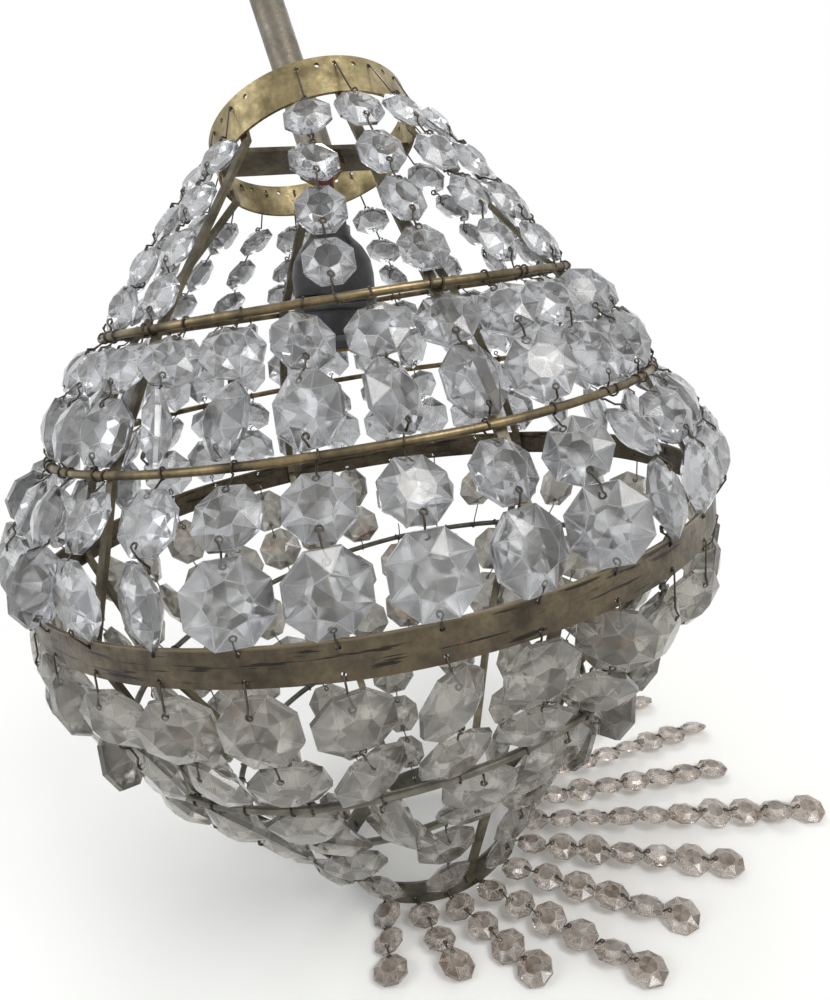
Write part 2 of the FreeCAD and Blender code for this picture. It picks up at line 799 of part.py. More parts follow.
# ---- free strands, fanned out on the surface below -----------------------------------------------
surface_level = bottom.at(bottom_towards, 0.0, -bottom_height / 2).z
for number, (azimuth, lie, count) in enumerate(strands, 1):
    eye = bottom.at(azimuth, eye_gap, hole_inset - bottom_height / 2)
    out = direction(lie)
    length = strand_lead + strand_pitch * count
    drop = math.asin((eye.z - surface_level - strand_flats * depth_share / 2) / length)
    along = out * math.cos(drop) - UP * math.sin(drop)
    crystals = []
    pins = []
    last = eye
    for place in range(count):
        top = eye + along * (strand_lead + strand_pitch * place)
        centre = top + along * (strand_flats / 2)
        turn = FreeCAD.Rotation(along, strand_twist * scatter(number + 5.0 * place))
        crystals.append(hang(strand_octagon, centre, along * -1.0, turn.multVec(UP)))
        pins.append(pin(last, top, pin_clear if place else 0.0))
        last = top + along * strand_flats
    save("strand_%02d_crystals" % number, *crystals)
    save("strand_%02d_pins" % number, *pins)
    print("strand_%02d" % number, place_words(eye), list(direction(lie + 90.0)),
          "down by", round(90.0 - math.degrees(drop), 1))

print("lamp_swing", place_words(pivot), "stem axis", list(crown.axis), "lamp axis", list(lamp.axis))
print("origin in the basket frame", [round(value, 3) for value in origin])
print("stem_top", place_words(origin), "socket mouth",
      place_words(pivot + lamp.axis * (bore_top - liner_height / 2)))
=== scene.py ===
import json
import math

import bmesh
import bpy
import numpy as np
from bpy.props import FloatProperty, FloatVectorProperty, IntProperty, PointerProperty
from mathutils import Matrix, Vector, noise

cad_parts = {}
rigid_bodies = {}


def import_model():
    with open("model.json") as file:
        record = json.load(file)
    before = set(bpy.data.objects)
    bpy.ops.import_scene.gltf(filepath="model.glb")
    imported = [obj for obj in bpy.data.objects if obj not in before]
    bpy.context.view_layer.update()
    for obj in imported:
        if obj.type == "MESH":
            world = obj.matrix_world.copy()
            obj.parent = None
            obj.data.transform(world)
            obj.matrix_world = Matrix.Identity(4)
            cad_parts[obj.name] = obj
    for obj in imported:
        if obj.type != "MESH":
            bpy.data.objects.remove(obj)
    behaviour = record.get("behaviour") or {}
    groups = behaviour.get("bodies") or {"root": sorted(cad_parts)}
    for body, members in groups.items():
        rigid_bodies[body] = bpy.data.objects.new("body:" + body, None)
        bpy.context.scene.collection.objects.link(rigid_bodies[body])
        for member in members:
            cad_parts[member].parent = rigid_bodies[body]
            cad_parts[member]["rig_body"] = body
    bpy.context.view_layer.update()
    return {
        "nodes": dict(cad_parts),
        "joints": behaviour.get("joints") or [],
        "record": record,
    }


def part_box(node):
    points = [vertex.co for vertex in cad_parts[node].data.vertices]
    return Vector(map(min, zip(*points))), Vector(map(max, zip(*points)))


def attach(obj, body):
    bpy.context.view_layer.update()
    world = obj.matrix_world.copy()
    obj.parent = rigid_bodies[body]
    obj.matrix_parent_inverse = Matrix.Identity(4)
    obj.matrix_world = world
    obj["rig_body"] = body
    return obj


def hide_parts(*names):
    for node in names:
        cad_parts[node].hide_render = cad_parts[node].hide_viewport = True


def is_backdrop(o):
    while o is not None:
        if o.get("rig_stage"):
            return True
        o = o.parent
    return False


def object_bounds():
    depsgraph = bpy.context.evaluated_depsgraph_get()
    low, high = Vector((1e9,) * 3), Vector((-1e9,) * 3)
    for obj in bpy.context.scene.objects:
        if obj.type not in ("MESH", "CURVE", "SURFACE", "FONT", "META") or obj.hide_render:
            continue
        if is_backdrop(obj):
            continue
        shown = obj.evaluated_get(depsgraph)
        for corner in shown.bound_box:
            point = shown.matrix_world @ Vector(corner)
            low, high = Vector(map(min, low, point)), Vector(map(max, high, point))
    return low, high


bl_info = {
    "name": "Crystal chandelier",
    "version": (1, 0, 0),
    "blender": (4, 5, 0),
    "location": "View3D > Sidebar > Chandelier",
    "description": "Dresses a basket chandelier's frame with cut crystals, pins and aged metal",
    "category": "Object",
}

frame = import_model()
MM = 0.001

# The view of the photograph, in the chandelier's own frame.
CAMERA_PLACE = Vector((0.012274, -0.364724, -0.133648))
CAMERA_RIGHT = Vector((0.98487, -0.08505, -0.15101))
CAMERA_UP = Vector((0.16730, 0.23896, 0.95651))
CAMERA_BACK = Vector((-0.04527, -0.96730, 0.24957))
CAMERA_LENS = 27.02

# The rows of crystals that each node of pins strings together.
ROWS = {"crown_pins": ["crown_crystals"], "upper_pins": ["upper_crystals"],
        "middle_pins": ["middle_crystals"],
        "lower_pins": ["skirt_crystals", "bowl_crystals", "base_crystals"]}
DROPS, STRANDS = ([name for name in sorted(frame["nodes"])
                   if name.startswith(start) and "crystals" in name]
                  for start in ("drop_", "strand_"))
# How full each hoop's wire is drawn, as a share of the CAD wire.
HOOPS = {"hoop_1": 0.82, "hoop_2": 0.82, "lower_hoop_1": 0.96, "lower_hoop_2": 0.96}
BANDS = ("crown_band", "main_band", "bottom_band")
WALL = 1.2 * MM
# How far a pin's end is, at most, from the crystal's edge or the ring that it is hooked on.
EDGE_GAP = 0.6 * MM
RING_GAP = 1.4 * MM
# The radius of a pin's eye, and the width below which a crystal takes small ones.
SMALL_EYE, LARGE_EYE, LOOSE_EYE = 0.75 * MM, 1.0 * MM, 0.9 * MM
SMALL_CRYSTAL = 15 * MM
# How far a pin and a staple reach along a band's inside, and how sharply both bend there.
PIN_TAIL, STAPLE_TAIL, TAIL_BEND = 2.6 * MM, 2.4 * MM, 0.5 * MM
# Half the turn from one corner of an octagon to the next.
HALF_SIDE = math.radians(22.5)
# A spear has eight corners in the CAD, and is drawn less deep than wide.
SPEAR_CORNERS, SPEAR_DEPTH = 8, 0.6
# How far a crystal leans about its own width, as a share of its turn about its string.
LEAN = 0.6


# ---- colours and materials ----
def linear(code):
    """An sRGB hex colour as linear red, green and blue."""
    values = [int(code[place:place + 2], 16) / 255 for place in (1, 3, 5)]
    return tuple(v / 12.92 if v <= 0.04045 else ((v + 0.055) / 1.055) ** 2.4 for v in values)


def shade(tint, share):
    """A colour made darker or lighter."""
    return tuple(min(1.0, part * share) for part in tint)


def feed(node, links):
    """Feeds a node's inputs, by name or number, each from a node, a socket or a plain value."""
    for name, source in links.items():
        socket = node.inputs[name] if isinstance(name, int) else next(
            place for place in node.inputs if place.name == name and place.enabled)
        if isinstance(source, bpy.types.Node):
            source = next(place for place in source.outputs if place.enabled)
        if isinstance(source, bpy.types.NodeSocket):
            node.id_data.links.new(source, socket)
        else:
            socket.default_value = (*source, 1.0) if socket.type == "RGBA" else source


def add(tree, kind, links=None, **settings):
    """Adds a node: settings are its own, and links is what feeds its inputs."""
    made = tree.nodes.new(kind)
    for name, value in settings.items():
        setattr(made, name, value)
    feed(made, links or {})
    return made


def start_material(name):
    """A new material: its tree, its shader and object coordinates."""
    made = bpy.data.materials.new(name)
    made.use_nodes = True
    tree = made.node_tree
    place = add(tree, "ShaderNodeTexCoord").outputs["Object"]
    return made, tree, tree.nodes["Principled BSDF"], place


def blotches(tree, place, size, low, high, detail=3.0, stretch=None):
    """A 0 to 1 pattern of patches of about a size in metres, between two noise levels."""
    if stretch:
        place = add(tree, "ShaderNodeMapping", {"Vector": place, "Scale": stretch})
    cloud = add(tree, "ShaderNodeTexNoise",
        {"Vector": place, "Scale": 1.0 / size, "Detail": detail, "Roughness": 0.6})
    return add(tree, "ShaderNodeMapRange", {"Value": cloud, "From Min": low, "From Max": high})


def layer(tree, under, over, pattern, most=1.0):
    """Lays a colour over another where a 0 to 1 pattern says, as far as most."""
    share = add(tree, "ShaderNodeMapRange", {"Value": pattern, "To Max": most})
    return add(tree, "ShaderNodeMix", {"Factor": share, "A": under, "B": over}, data_type="RGBA")


def cut_crystal(name, part, milk, stained=0.7, edging=0.3):
    """Pressed and polished lead crystal after years of dust.

    Each facet is painted its own light or shade, from the dull colour up to the clear one, as
    though it caught the light on its own; the worn edges between facets show as pale frosted
    lines, a film of dust dulls patches, and rust has crept from the pins into a few crystals.
    """
    glass = bpy.context.scene.chandelier_crystals
    clear, dull = getattr(glass, part + "_clear"), getattr(glass, part + "_dull")
    made, tree, shader, place = start_material(name)
    # each facet's painted light and shade, stored on the crystal's faces
    tone = add(tree, "ShaderNodeAttribute", attribute_name="tone").outputs["Fac"]
    rims = add(tree, "ShaderNodeAttribute", attribute_name="rim").outputs["Vector"]
    rims = add(tree, "ShaderNodeSeparateXYZ", {0: rims}).outputs
    near = add(tree, "ShaderNodeMath", {0: rims[0], 1: rims[1]}, operation="MINIMUM")
    near = add(tree, "ShaderNodeMath", {0: near, 1: rims[2]}, operation="MINIMUM")
    # the pale lines take a twelfth of a facet
    edge = add(tree, "ShaderNodeMapRange",
        {"Value": near, "From Max": 0.08, "To Min": edging, "To Max": 0.0})
    film = blotches(tree, place, 12 * MM, 0.38, 0.62)
    haze = add(tree, "ShaderNodeMapRange", {"Value": film, "To Min": 0.02, "To Max": 0.16})
    # painted highlight and shade: lighter facets take the clear colour and darker ones the dull
    # colour, as though each caught the light differently
    body = layer(tree, dull, clear, tone)
    body = layer(tree, body, dull, film, 0.35)
    body = layer(tree, body, glass.stain, blotches(tree, place, 24 * MM, stained, stained + 0.06),
        0.6)
    feed(shader, {"Base Color": layer(tree, body, clear, edge),
        "Roughness": add(tree, "ShaderNodeMath", {0: haze, 1: edge}, operation="MAXIMUM"),
        "IOR": 1.54, "Transmission Weight": 1.0 - milk})
    return made


def aged_metal(name, part, metallic, rust="rust", scored=0.0, rubbed_and_highlit=None):
    """Old metal: satin where it is worn, brown where it has tarnished, rusty in small spots.

    scored is the strength of long dark scratches round it, and rubbed the levels in metres
    between which the top edge is painted pale: partly worn, partly a painted highlight.
    """
    metal = bpy.context.scene.chandelier_metal
    worn, tarnish, rust = (getattr(metal, key)
        for key in (part + "_worn", part + "_tarnish", rust))
    made, tree, shader, place = start_material(name)
    patina = blotches(tree, place, 14 * MM, 0.34, 0.66, 6.0)
    mottle = blotches(tree, place, 2.2 * MM, 0.35, 0.7)
    skin = layer(tree, worn, tarnish, patina)
    skin = layer(tree, skin, shade(tarnish, 0.5), mottle, 0.4)
    skin = layer(tree, skin, rust, blotches(tree, place, 2.6 * MM, 0.68, 0.76), 0.7)
    if scored:
        lines = blotches(tree, place, 26 * MM, 0.585, 0.625, 2.5, (1.0, 1.0, 16.0))
        skin = layer(tree, skin, shade(tarnish, 0.2), lines, scored)
    # the top edge painted pale: partly rubbed wear, partly a painted highlight where the light
    # catches the lip
    if rubbed_and_highlit:
        height = add(tree, "ShaderNodeSeparateXYZ", {0: place}).outputs[2]
        edge = add(tree, "ShaderNodeMapRange",
            {"Value": height, "From Min": rubbed_and_highlit[0], "From Max": rubbed_and_highlit[1]})
        skin = layer(tree, skin, shade(worn, 1.7), edge, 0.75)
    feed(shader, {
        "Base Color": skin, "Metallic": metallic,
        "Roughness": add(tree, "ShaderNodeMapRange",
            {"Value": patina, "To Min": 0.3, "To Max": 0.55}),
        "Normal": add(tree, "ShaderNodeBump",
            {"Height": mottle, "Distance": 0.1 * MM, "Strength": 0.5})})
    return made


def dusty_skin(name, base, worn, gloss):
    """Moulded phenolic, dark and glossy, or braided flex, matt: both dulled by dust and scuffs.

    gloss is the roughness where there is no dust.
    """
    made, tree, shader, place = start_material(name)
    dust = blotches(tree, place, 7 * MM, 0.4, 0.75, 4.0)
    grain = blotches(tree, place, 0.8 * MM, 0.3, 0.7)
    feed(shader, {
        "Base Color": layer(tree, base, worn, dust),
        "Roughness": add(tree, "ShaderNodeMapRange",
            {"Value": dust, "To Min": gloss, "To Max": gloss + 0.35}),
        "Normal": add(tree, "ShaderNodeBump",
            {"Height": grain, "Distance": 0.04 * MM, "Strength": 0.5})})
    return made


def porcelain(name, base):
    """Glazed porcelain, slightly browned."""
    made, tree, shader, place = start_material(name)
    stain = blotches(tree, place, 5 * MM, 0.45, 0.8)
    feed(shader, {"Base Color": layer(tree, base, shade(base, 0.6), stain), "Roughness": 0.3})
    return made


# ---- reading the CAD solids ----
def solids_of(name):
    """The separate solids of a CAD node: the corners and the triangles of each."""
    mesh = frame["nodes"][name].data
    loose = np.array([corner.co for corner in mesh.vertices], dtype=float)
    _, first, joined = np.unique(np.round(loose * 1e6).astype(int), axis=0,
        return_index=True, return_inverse=True)
    corners = loose[first]
    mesh.calc_loop_triangles()
    faces = joined.reshape(-1)[[tuple(face.vertices) for face in mesh.loop_triangles]]
    # each corner takes the least label beside it, until every solid has a single one
    labels, before = np.arange(len(corners)), None
    while before is None or (labels != before).any():
        before = labels.copy()
        np.minimum.at(labels, faces, before[faces].min(axis=1)[:, None])
    owners = labels[faces[:, 0]]
    return [(corners[labels == owner], corners[faces[owners == owner]])
        for owner in dict.fromkeys(owners)]


def pin_ends(name):
    """The two ends of each pin of a node: the middles of its equal-sided end faces."""
    pins = []
    for _, faces in solids_of(name):
        sides = np.linalg.norm(faces - np.roll(faces, 1, axis=1), axis=2)
        # equal to 2 percent
        even = sides.max(axis=1) - sides.min(axis=1) < 0.02 * sides.max(axis=1)
        pins.append([Vector(end) for end in faces[even].sum(axis=1) / 3])
        if len(pins[-1]) != 2:
            raise RuntimeError(f"a pin of {name} has {len(pins[-1])} ends")
    return pins


class Crystal:
    """One crystal: its middle, size, width and depth, the ways up and out, and its held ends."""

    def __init__(self, corners, facing):
        far = -np.linalg.norm(corners - corners.mean(axis=0), axis=1)
        self.spear = len(corners) == SPEAR_CORNERS
        if self.spear:
            self.read_spear(corners[np.argsort(far)])
        else:
            self.read_octagon(corners[np.argsort(far)], facing)

    def read_spear(self, corners):
        """A spear's two tips are its furthest corners, and the others are round its waist."""
        top, low = sorted((Vector(tip) for tip in corners[:2]), key=lambda tip: -tip.z)
        centre = Vector(corners[2:].mean(axis=0))
        self.ends = [top, low]
        self.middle = (top + low) / 2
        self.up = (top - low).normalized()
        self.size = (top - low).length
        across = max((Vector(point) - centre for point in corners[2:]), key=lambda arm: arm.length)
        self.width = 2 * across.length
        self.depth = self.width * SPEAR_DEPTH
        self.face = (across - self.up * across.dot(self.up)).normalized().cross(self.up)

    def read_octagon(self, corners, facing):
        """An octagon's eight furthest corners are its edge; pins hold the middles of its sides."""
        edge, inner = corners[:8], corners[8:]
        centre = edge.mean(axis=0)
        normal = np.linalg.svd(edge - centre)[2][2]
        heights = (inner - centre) @ normal
        self.middle, self.face, self.up = Vector(centre), Vector(normal), None
        self.depth = float(heights.max() - heights.min())
        if len(inner) > 2:
            # a table crystal: its table's eight corners lie on its front
            turned_away = (heights > 0).sum() < (heights < 0).sum()
        else:
            turned_away = self.face.dot(facing(self.middle)) < 0
        if turned_away:
            self.face.negate()
        self.width = self.size = 2 * float(np.linalg.norm(edge - centre, axis=1).mean()
            * math.cos(HALF_SIDE))
        first = Vector(edge[0]) - self.middle
        side = self.face.cross(first).normalized()
        first.normalize()
        arms = [Vector(point) - self.middle for point in edge]
        halves = [angle + HALF_SIDE for angle in
            sorted(math.atan2(arm.dot(side), arm.dot(first)) for arm in arms)]
        self.ends = [self.middle + (first * math.cos(half) + side * math.sin(half))
            * (self.size / 2) for half in halves]

    def tilt(self, sway):
        """Turns the crystal a little about its string and about its own width."""
        spin = Matrix.Rotation(sway * (2 * noise.random() - 1), 3, self.up)
        self.face = spin @ self.face
        lean = Matrix.Rotation(sway * LEAN * (2 * noise.random() - 1), 3, self.up.cross(self.face))
        self.face, self.up = lean @ self.face, lean @ self.up


def outward(point):
    """Level and away from the basket's middle."""
    low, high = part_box("main_band")
    centre = (low + high) / 2
    return Vector((point.x - centre.x, point.y - centre.y, 0.0)).normalized()


def upward(point):
    """What the strands face where they lie."""
    return Vector((0, 0, 1))


def read_strings(rows, pins_node, facing):
    """The crystals of some nodes, the pins of one, and what each pin's end holds."""
    crystals = {row: [Crystal(corners, facing) for corners, _ in solids_of(row)] for row in rows}
    pins = pin_ends(pins_node)
    holds = {}
    for crystal in sum(crystals.values(), []):
        ways = []
        for number, pin in enumerate(pins):
            for which, point in enumerate(pin):
                nearest = min(crystal.ends, key=lambda end: (end - point).length)
                if (nearest - point).length < EDGE_GAP:
                    holds[number, which] = (crystal, nearest)
                    ways.append((nearest - crystal.middle).normalized())
        if not crystal.spear:
            if not ways:
                raise RuntimeError(f"a crystal that {pins_node} should hold has no pin")
            crystal.up = max(ways, key=lambda way: way.z)
    return crystals, pins, holds


class Round:
    """A hoop or band of the CAD frame: its middle, axis, radius and half its height."""

    def __init__(self, name):
        corners = np.concatenate([solid[0] for solid in solids_of(name)])
        middle = corners.mean(axis=0)
        if name in BANDS:
            radii = np.linalg.norm(corners - middle, axis=1)
            # only the corners of its wall count
            middle = corners[radii > radii.max() * 0.97].mean(axis=0)
        axis = np.linalg.svd(corners - middle)[2][2]
        self.name = name
        self.middle = Vector(middle)
        self.axis = Vector(axis) * (1 if axis[2] > 0 else -1)
        rise = (corners - middle) @ np.array(self.axis)
        reach = np.linalg.norm(corners - middle - np.outer(rise, np.array(self.axis)), axis=1)
        self.half = float(rise.max() - rise.min()) / 2
        self.wire = name in HOOPS
        self.radius = float(reach.max() + reach.min()) / 2 if self.wire else float(reach.max())

    def spot(self, point):
        """The outward way at a point, and the point's level along the axis."""
        arm = point - self.middle
        rise = arm.dot(self.axis)
        return (arm - self.axis * rise).normalized(), rise

    def gap(self, point):
        """How far a point is from the ring's wire, or from a band's outer face."""
        out, rise = self.spot(point)
        if self.wire:
            return abs((self.middle + out * self.radius - point).length - self.half)
        reach = (point - self.middle - self.axis * rise).length
        return math.hypot(reach - self.radius, max(0.0, abs(rise) - self.half))

    def ways(self):
        """Two ways at right angles in the ring's plane, the first towards X."""
        first = self.spot(self.middle + Vector((1, 0, 0)))[0]
        return first, self.axis.cross(first)


RINGS = {name: Round(name) for name in (*HOOPS, *BANDS)}


# ---- Geometry Nodes ----
def start_tree(name, *inputs):
    """A node tree for a modifier, and the outputs that its named inputs come from."""
    tree = bpy.data.node_groups.new(name, "GeometryNodeTree")
    for label, kind, *value in (("Geometry", "Geometry"), *inputs, ("Material", "Material")):
        socket = tree.interface.new_socket(name=label, in_out="INPUT",
            socket_type="NodeSocket" + kind)
        if value:
            socket.default_value = value[0]
    tree.interface.new_socket(name="Geometry", in_out="OUTPUT", socket_type="NodeSocketGeometry")
    return tree, tree.nodes.new("NodeGroupInput").outputs


def end_tree(tree, given, shape):
    """Ends a tree with a shape as real geometry, in the given material."""
    real = add(tree, "GeometryNodeRealizeInstances", {"Geometry": shape})
    faced = add(tree, "GeometryNodeSetMaterial", {"Geometry": real, "Material": given["Material"]})
    add(tree, "NodeGroupOutput", {"Geometry": faced})
    return tree


def wire_tree():
    """Edges bent into a wire: a round section along every run of edges."""
    tree, given = start_tree("bent wire", ("Wire radius", "Float", 0.4 * MM), ("Sides", "Int", 6))
    lines = add(tree, "GeometryNodeMeshToCurve", {"Mesh": given["Geometry"]})
    section = add(tree, "GeometryNodeCurvePrimitiveCircle",
        {"Resolution": given["Sides"], "Radius": given["Wire radius"]})
    tube = add(tree, "GeometryNodeCurveToMesh",
        {"Curve": lines, "Profile Curve": section, "Fill Caps": True})
    return end_tree(tree, given, add(tree, "GeometryNodeSetShadeSmooth", {"Geometry": tube}))


def strung_tree():
    """A cut crystal at every point, turned and sized by the point's own values."""
    tree, given = start_tree("strung crystals", ("Crystal", "Object"), ("Spread", "Float", 0.3),
        ("Seed", "Int", 4))
    cut = add(tree, "GeometryNodeObjectInfo", {"Object": given["Crystal"]}).outputs["Geometry"]
    kept = {name: add(tree, "GeometryNodeInputNamedAttribute", {"Name": name}, data_type=kind)
        for name, kind in (("turn", "FLOAT_VECTOR"), ("size", "FLOAT_VECTOR"),
        ("tone", "FLOAT"))}
    turn = add(tree, "FunctionNodeEulerToRotation", {"Euler": kept["turn"]})
    hung = add(tree, "GeometryNodeInstanceOnPoints", {
        "Points": given["Geometry"], "Instance": cut, "Rotation": turn, "Scale": kept["size"]})
    hung = add(tree, "GeometryNodeRealizeInstances", {"Geometry": hung})
    # each facet's painted light strays at random by as much as the spread, either way
    least = add(tree, "ShaderNodeMath", {0: given["Spread"], 1: -1.0}, operation="MULTIPLY")
    chance = add(tree, "FunctionNodeRandomValue",
        {"Min": least, "Max": given["Spread"], "Seed": given["Seed"]})
    tone = add(tree, "ShaderNodeMath", {0: kept["tone"], 1: chance}, operation="ADD",
        use_clamp=True)
    # stores each facet's painted light and shade for the crystal material
    return end_tree(tree, given, add(tree, "GeometryNodeStoreNamedAttribute",
        {"Geometry": hung, "Name": "tone", "Value": tone}, domain="FACE"))


def band_tree():
    """A strip rolled round Z, punched at each given point, set at its ring's place."""
    tree, given = start_tree(
        "punched band", ("Radius", "Float", 0.1), ("Height", "Float", 0.01),
        ("Wall", "Float", 0.001), ("Hole", "Float", 0.002), ("Segments", "Int", 150),
        ("Warp", "Float", 0.0), ("Seed", "Float", 0.0), ("Turn", "Vector"), ("Place", "Vector"))
    inset = add(tree, "ShaderNodeMath", {0: given["Wall"], 1: 0.5}, operation="MULTIPLY")
    reach = add(tree, "ShaderNodeMath", {0: given["Radius"], 1: inset}, operation="SUBTRACT")
    circle = add(tree, "GeometryNodeCurvePrimitiveCircle",
        {"Resolution": given["Segments"], "Radius": reach})
    section = add(tree, "GeometryNodeCurvePrimitiveQuadrilateral",
        {"Width": given["Wall"], "Height": given["Height"]})
    strip = add(tree, "GeometryNodeCurveToMesh", {"Curve": circle, "Profile Curve": section})
    bore = add(tree, "ShaderNodeMath", {0: given["Hole"], 1: 0.5}, operation="MULTIPLY")
    depth = add(tree, "ShaderNodeMath", {0: given["Wall"], 1: 6.0}, operation="MULTIPLY")
    punch = add(tree, "GeometryNodeMeshCylinder", {"Vertices": 10, "Radius": bore, "Depth": depth})
    facing = add(tree, "GeometryNodeInputNamedAttribute", {"Name": "turn"},
        data_type="FLOAT_VECTOR")
    punches = add(tree, "GeometryNodeInstanceOnPoints", {
        "Points": given["Geometry"], "Instance": punch,
        "Rotation": add(tree, "FunctionNodeEulerToRotation", {"Euler": facing})})
    punches = add(tree, "GeometryNodeRealizeInstances", {"Geometry": punches})
    pierced = add(tree, "GeometryNodeMeshBoolean", {"Mesh 1": strip, "Mesh 2": punches},
        operation="DIFFERENCE", solver="MANIFOLD")
    wave = add(tree, "ShaderNodeTexNoise", {"W": given["Seed"], "Scale": 14.0, "Detail": 0.0},
        noise_dimensions="4D").outputs["Color"]
    sway = add(tree, "ShaderNodeVectorMath", {0: wave, 1: (0.5, 0.5, 0.5)}, operation="SUBTRACT")
    sway = add(tree, "ShaderNodeVectorMath", {0: sway, "Scale": given["Warp"]}, operation="SCALE")
    warped = add(tree, "GeometryNodeSetPosition", {"Geometry": pierced, "Offset": sway})
    angle = add(tree, "GeometryNodeInputMeshEdgeAngle")
    gentle = add(tree, "FunctionNodeCompare", {0: angle, 1: math.radians(35)},
        operation="LESS_THAN")
    smooth = add(tree, "GeometryNodeSetShadeSmooth",
        {"Geometry": warped, "Shade Smooth": gentle}, domain="EDGE")
    return end_tree(tree, given, add(tree, "GeometryNodeTransform", {
        "Geometry": smooth, "Translation": given["Place"], "Rotation": given["Turn"]}))


def point_mesh(name, points, edges=(), **values):
    """A mesh of points and edges; values are vectors that its points keep, by name."""
    mesh = bpy.data.meshes.new(name)
    mesh.from_pydata(points, edges, [])
    for label, vectors in values.items():
        kept = mesh.attributes.new(label, "FLOAT_VECTOR", "POINT")
        for place, vector in enumerate(vectors):
            kept.data[place].vector = vector
    return mesh


def put(name, data):
    """A new object in the scene."""
    made = bpy.data.objects.new(name, data)
    bpy.context.scene.collection.objects.link(made)
    return made


def made_by_tree(name, mesh, tree, values):
    """The plain mesh object that a tree makes of a mesh."""
    source = put(name + "_source", mesh)
    modifier = source.modifiers.new("build", "NODES")
    modifier.node_group = tree
    for item in tree.interface.items_tree:
        if item.in_out == "INPUT" and item.name in values:
            modifier[item.identifier] = values[item.name]
    seen = source.evaluated_get(bpy.context.evaluated_depsgraph_get())
    result = bpy.data.meshes.new_from_object(seen)
    result.name = name
    bpy.data.objects.remove(source)
    return put(name, result)


def hand_over(made, like, *nodes):
    """Lets a piece ride on the body of a CAD node, in place of some nodes."""
    body = frame["nodes"][like]["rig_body"]
    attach(made, body)
    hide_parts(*nodes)


# ---- cut crystals ----
# A cut has rows of corners, from the front back, each with its reach, height and turn in
# degrees, and on every side the same facets. A facet is its corners, each a row's letter, small
# on this side and a capital on the next, or < and > for the front and back tips; the number of
# its painted light and shade among the cut's tones; and its rims. The corners of an octagon's
# tables lie between those of its edge, so that triangles fit between them.
OCTAGON_FACETS = (("eEFf", 2, "strip"), ("fFT", 2, "all"), ("tfT", 1, "all"), ("EeB", 2, "none"),
                  ("ebB", 1, "none"), ("<tT", 0, "fan"), (">Bb", 1, "none"))
SPEAR_ROWS = {"t": (0.26, 0.46, 30), "w": (0.5, 0.30, 0), "l": (0.34, 0.0, 30)}
SPEAR_FACETS = (("<Tt", 0, "all"), ("tTW", 1, "all"), ("wtW", 2, "all"), ("wWl", 1, "all"),
                ("lWL", 2, "all"), ("lL>", 0, "all"))
# How far each corner of a facet is from its first, second and third real edge.
RIMS = {
    "all": ((1, 0, 0), (0, 1, 0), (0, 0, 1)),
    "fan": ((1, 1, 1), (0, 1, 1), (0, 1, 1)),
    "strip": ((1, 0, 1), (1, 0, 1), (0, 1, 1), (0, 1, 1)),
    "none": ((1, 1, 1), (1, 1, 1), (1, 1, 1)),
}


def cut(name, sides, rows, facets, painted_facet_lights, axes="xyz"):
    """A hidden crystal, 1 across and 1 deep, that a tree repeats."""
    points = [Vector((0, 0, 0.5)), Vector((0, 0, -0.5))]
    places = {"<": (0, 0), ">": (1, 0)}
    for letter, (reach, height, turn) in rows.items():
        places[letter] = (len(points), 0)
        places[letter.upper()] = (len(points), 1)
        angles = [math.radians(360 / sides * side + turn) for side in range(sides)]
        points += [Vector((reach * math.cos(angle), reach * math.sin(angle), height))
            for angle in angles]
    faces = []
    for side in range(sides):
        for corners, _, _ in facets:
            spots = [places[corner] for corner in corners]
            faces.append([first if first < 2 else first + (side + after) % sides
                for first, after in spots])
    mesh = bpy.data.meshes.new(name)
    mesh.from_pydata([getattr(point, axes) for point in points], [], faces)
    # each face keeps its painted light and shade, one value for each kind of facet
    tone = mesh.attributes.new("tone", "FLOAT", "FACE")
    rim = mesh.attributes.new("rim", "FLOAT_VECTOR", "CORNER")
    for face in mesh.polygons:
        _, number, rims = facets[face.index % len(facets)]
        tone.data[face.index].value = painted_facet_lights[number]
        for loop, place in zip(face.loop_indices, RIMS[rims]):
            rim.data[loop].vector = place
    if sum(face.normal.dot(face.center) for face in mesh.polygons) < 0:
        mesh.flip_normals()
    return bpy.data.objects.new(name, mesh)


def octagon_cut(table, back, girdle):
    """An octagon crystal: a table and a ring of triangles on each face."""
    reach = 0.5 / math.cos(HALF_SIDE)
    return cut("octagon_cut", 8, {"f": (reach, girdle / 2, 22.5), "e": (reach, -girdle / 2, 22.5),
        "t": (table * reach, 0.5, 0.0), "b": (back * reach, -0.5, 0.0)},
        # painted light and shade for the three kinds of facet, from dark to bright
        OCTAGON_FACETS, (0.3, 0.75, 0.55))


def spear_cut():
    """A spear drop, along Y: six long facets under six short ones."""
    # painted light and shade for the three kinds of facet, from dark to bright
    return cut("spear_cut", 6, SPEAR_ROWS, SPEAR_FACETS, (0.4, 0.75, 0.55), "xzy")


def strung(name, crystals, shape, material):
    """Some crystals of one node as one mesh."""
    turns = [Matrix((one.up.cross(one.face), one.up, one.face)).transposed().to_euler()
        for one in crystals]
    mesh = point_mesh(name + "_points", [one.middle for one in crystals], turn=turns,
        size=[(one.width, one.size, one.depth) for one in crystals])
    return made_by_tree(name, mesh, SHARED["strung"],
        {"Crystal": SHARED[shape], "Material": SHARED[material]})


# ---- pins ----
def curl(centre, first, second, radius, start, turn, steps, pitch):
    """Points round a centre, from the first way towards the second, each a pitch further on.

    start is in degrees, and so is turn, from one point to the next.
    """
    angles = [math.radians(start + turn * step) for step in range(steps)]
    return [centre + (first * math.cos(angle) + second * math.sin(angle)) * radius + pitch * step
        for step, angle in enumerate(angles)]


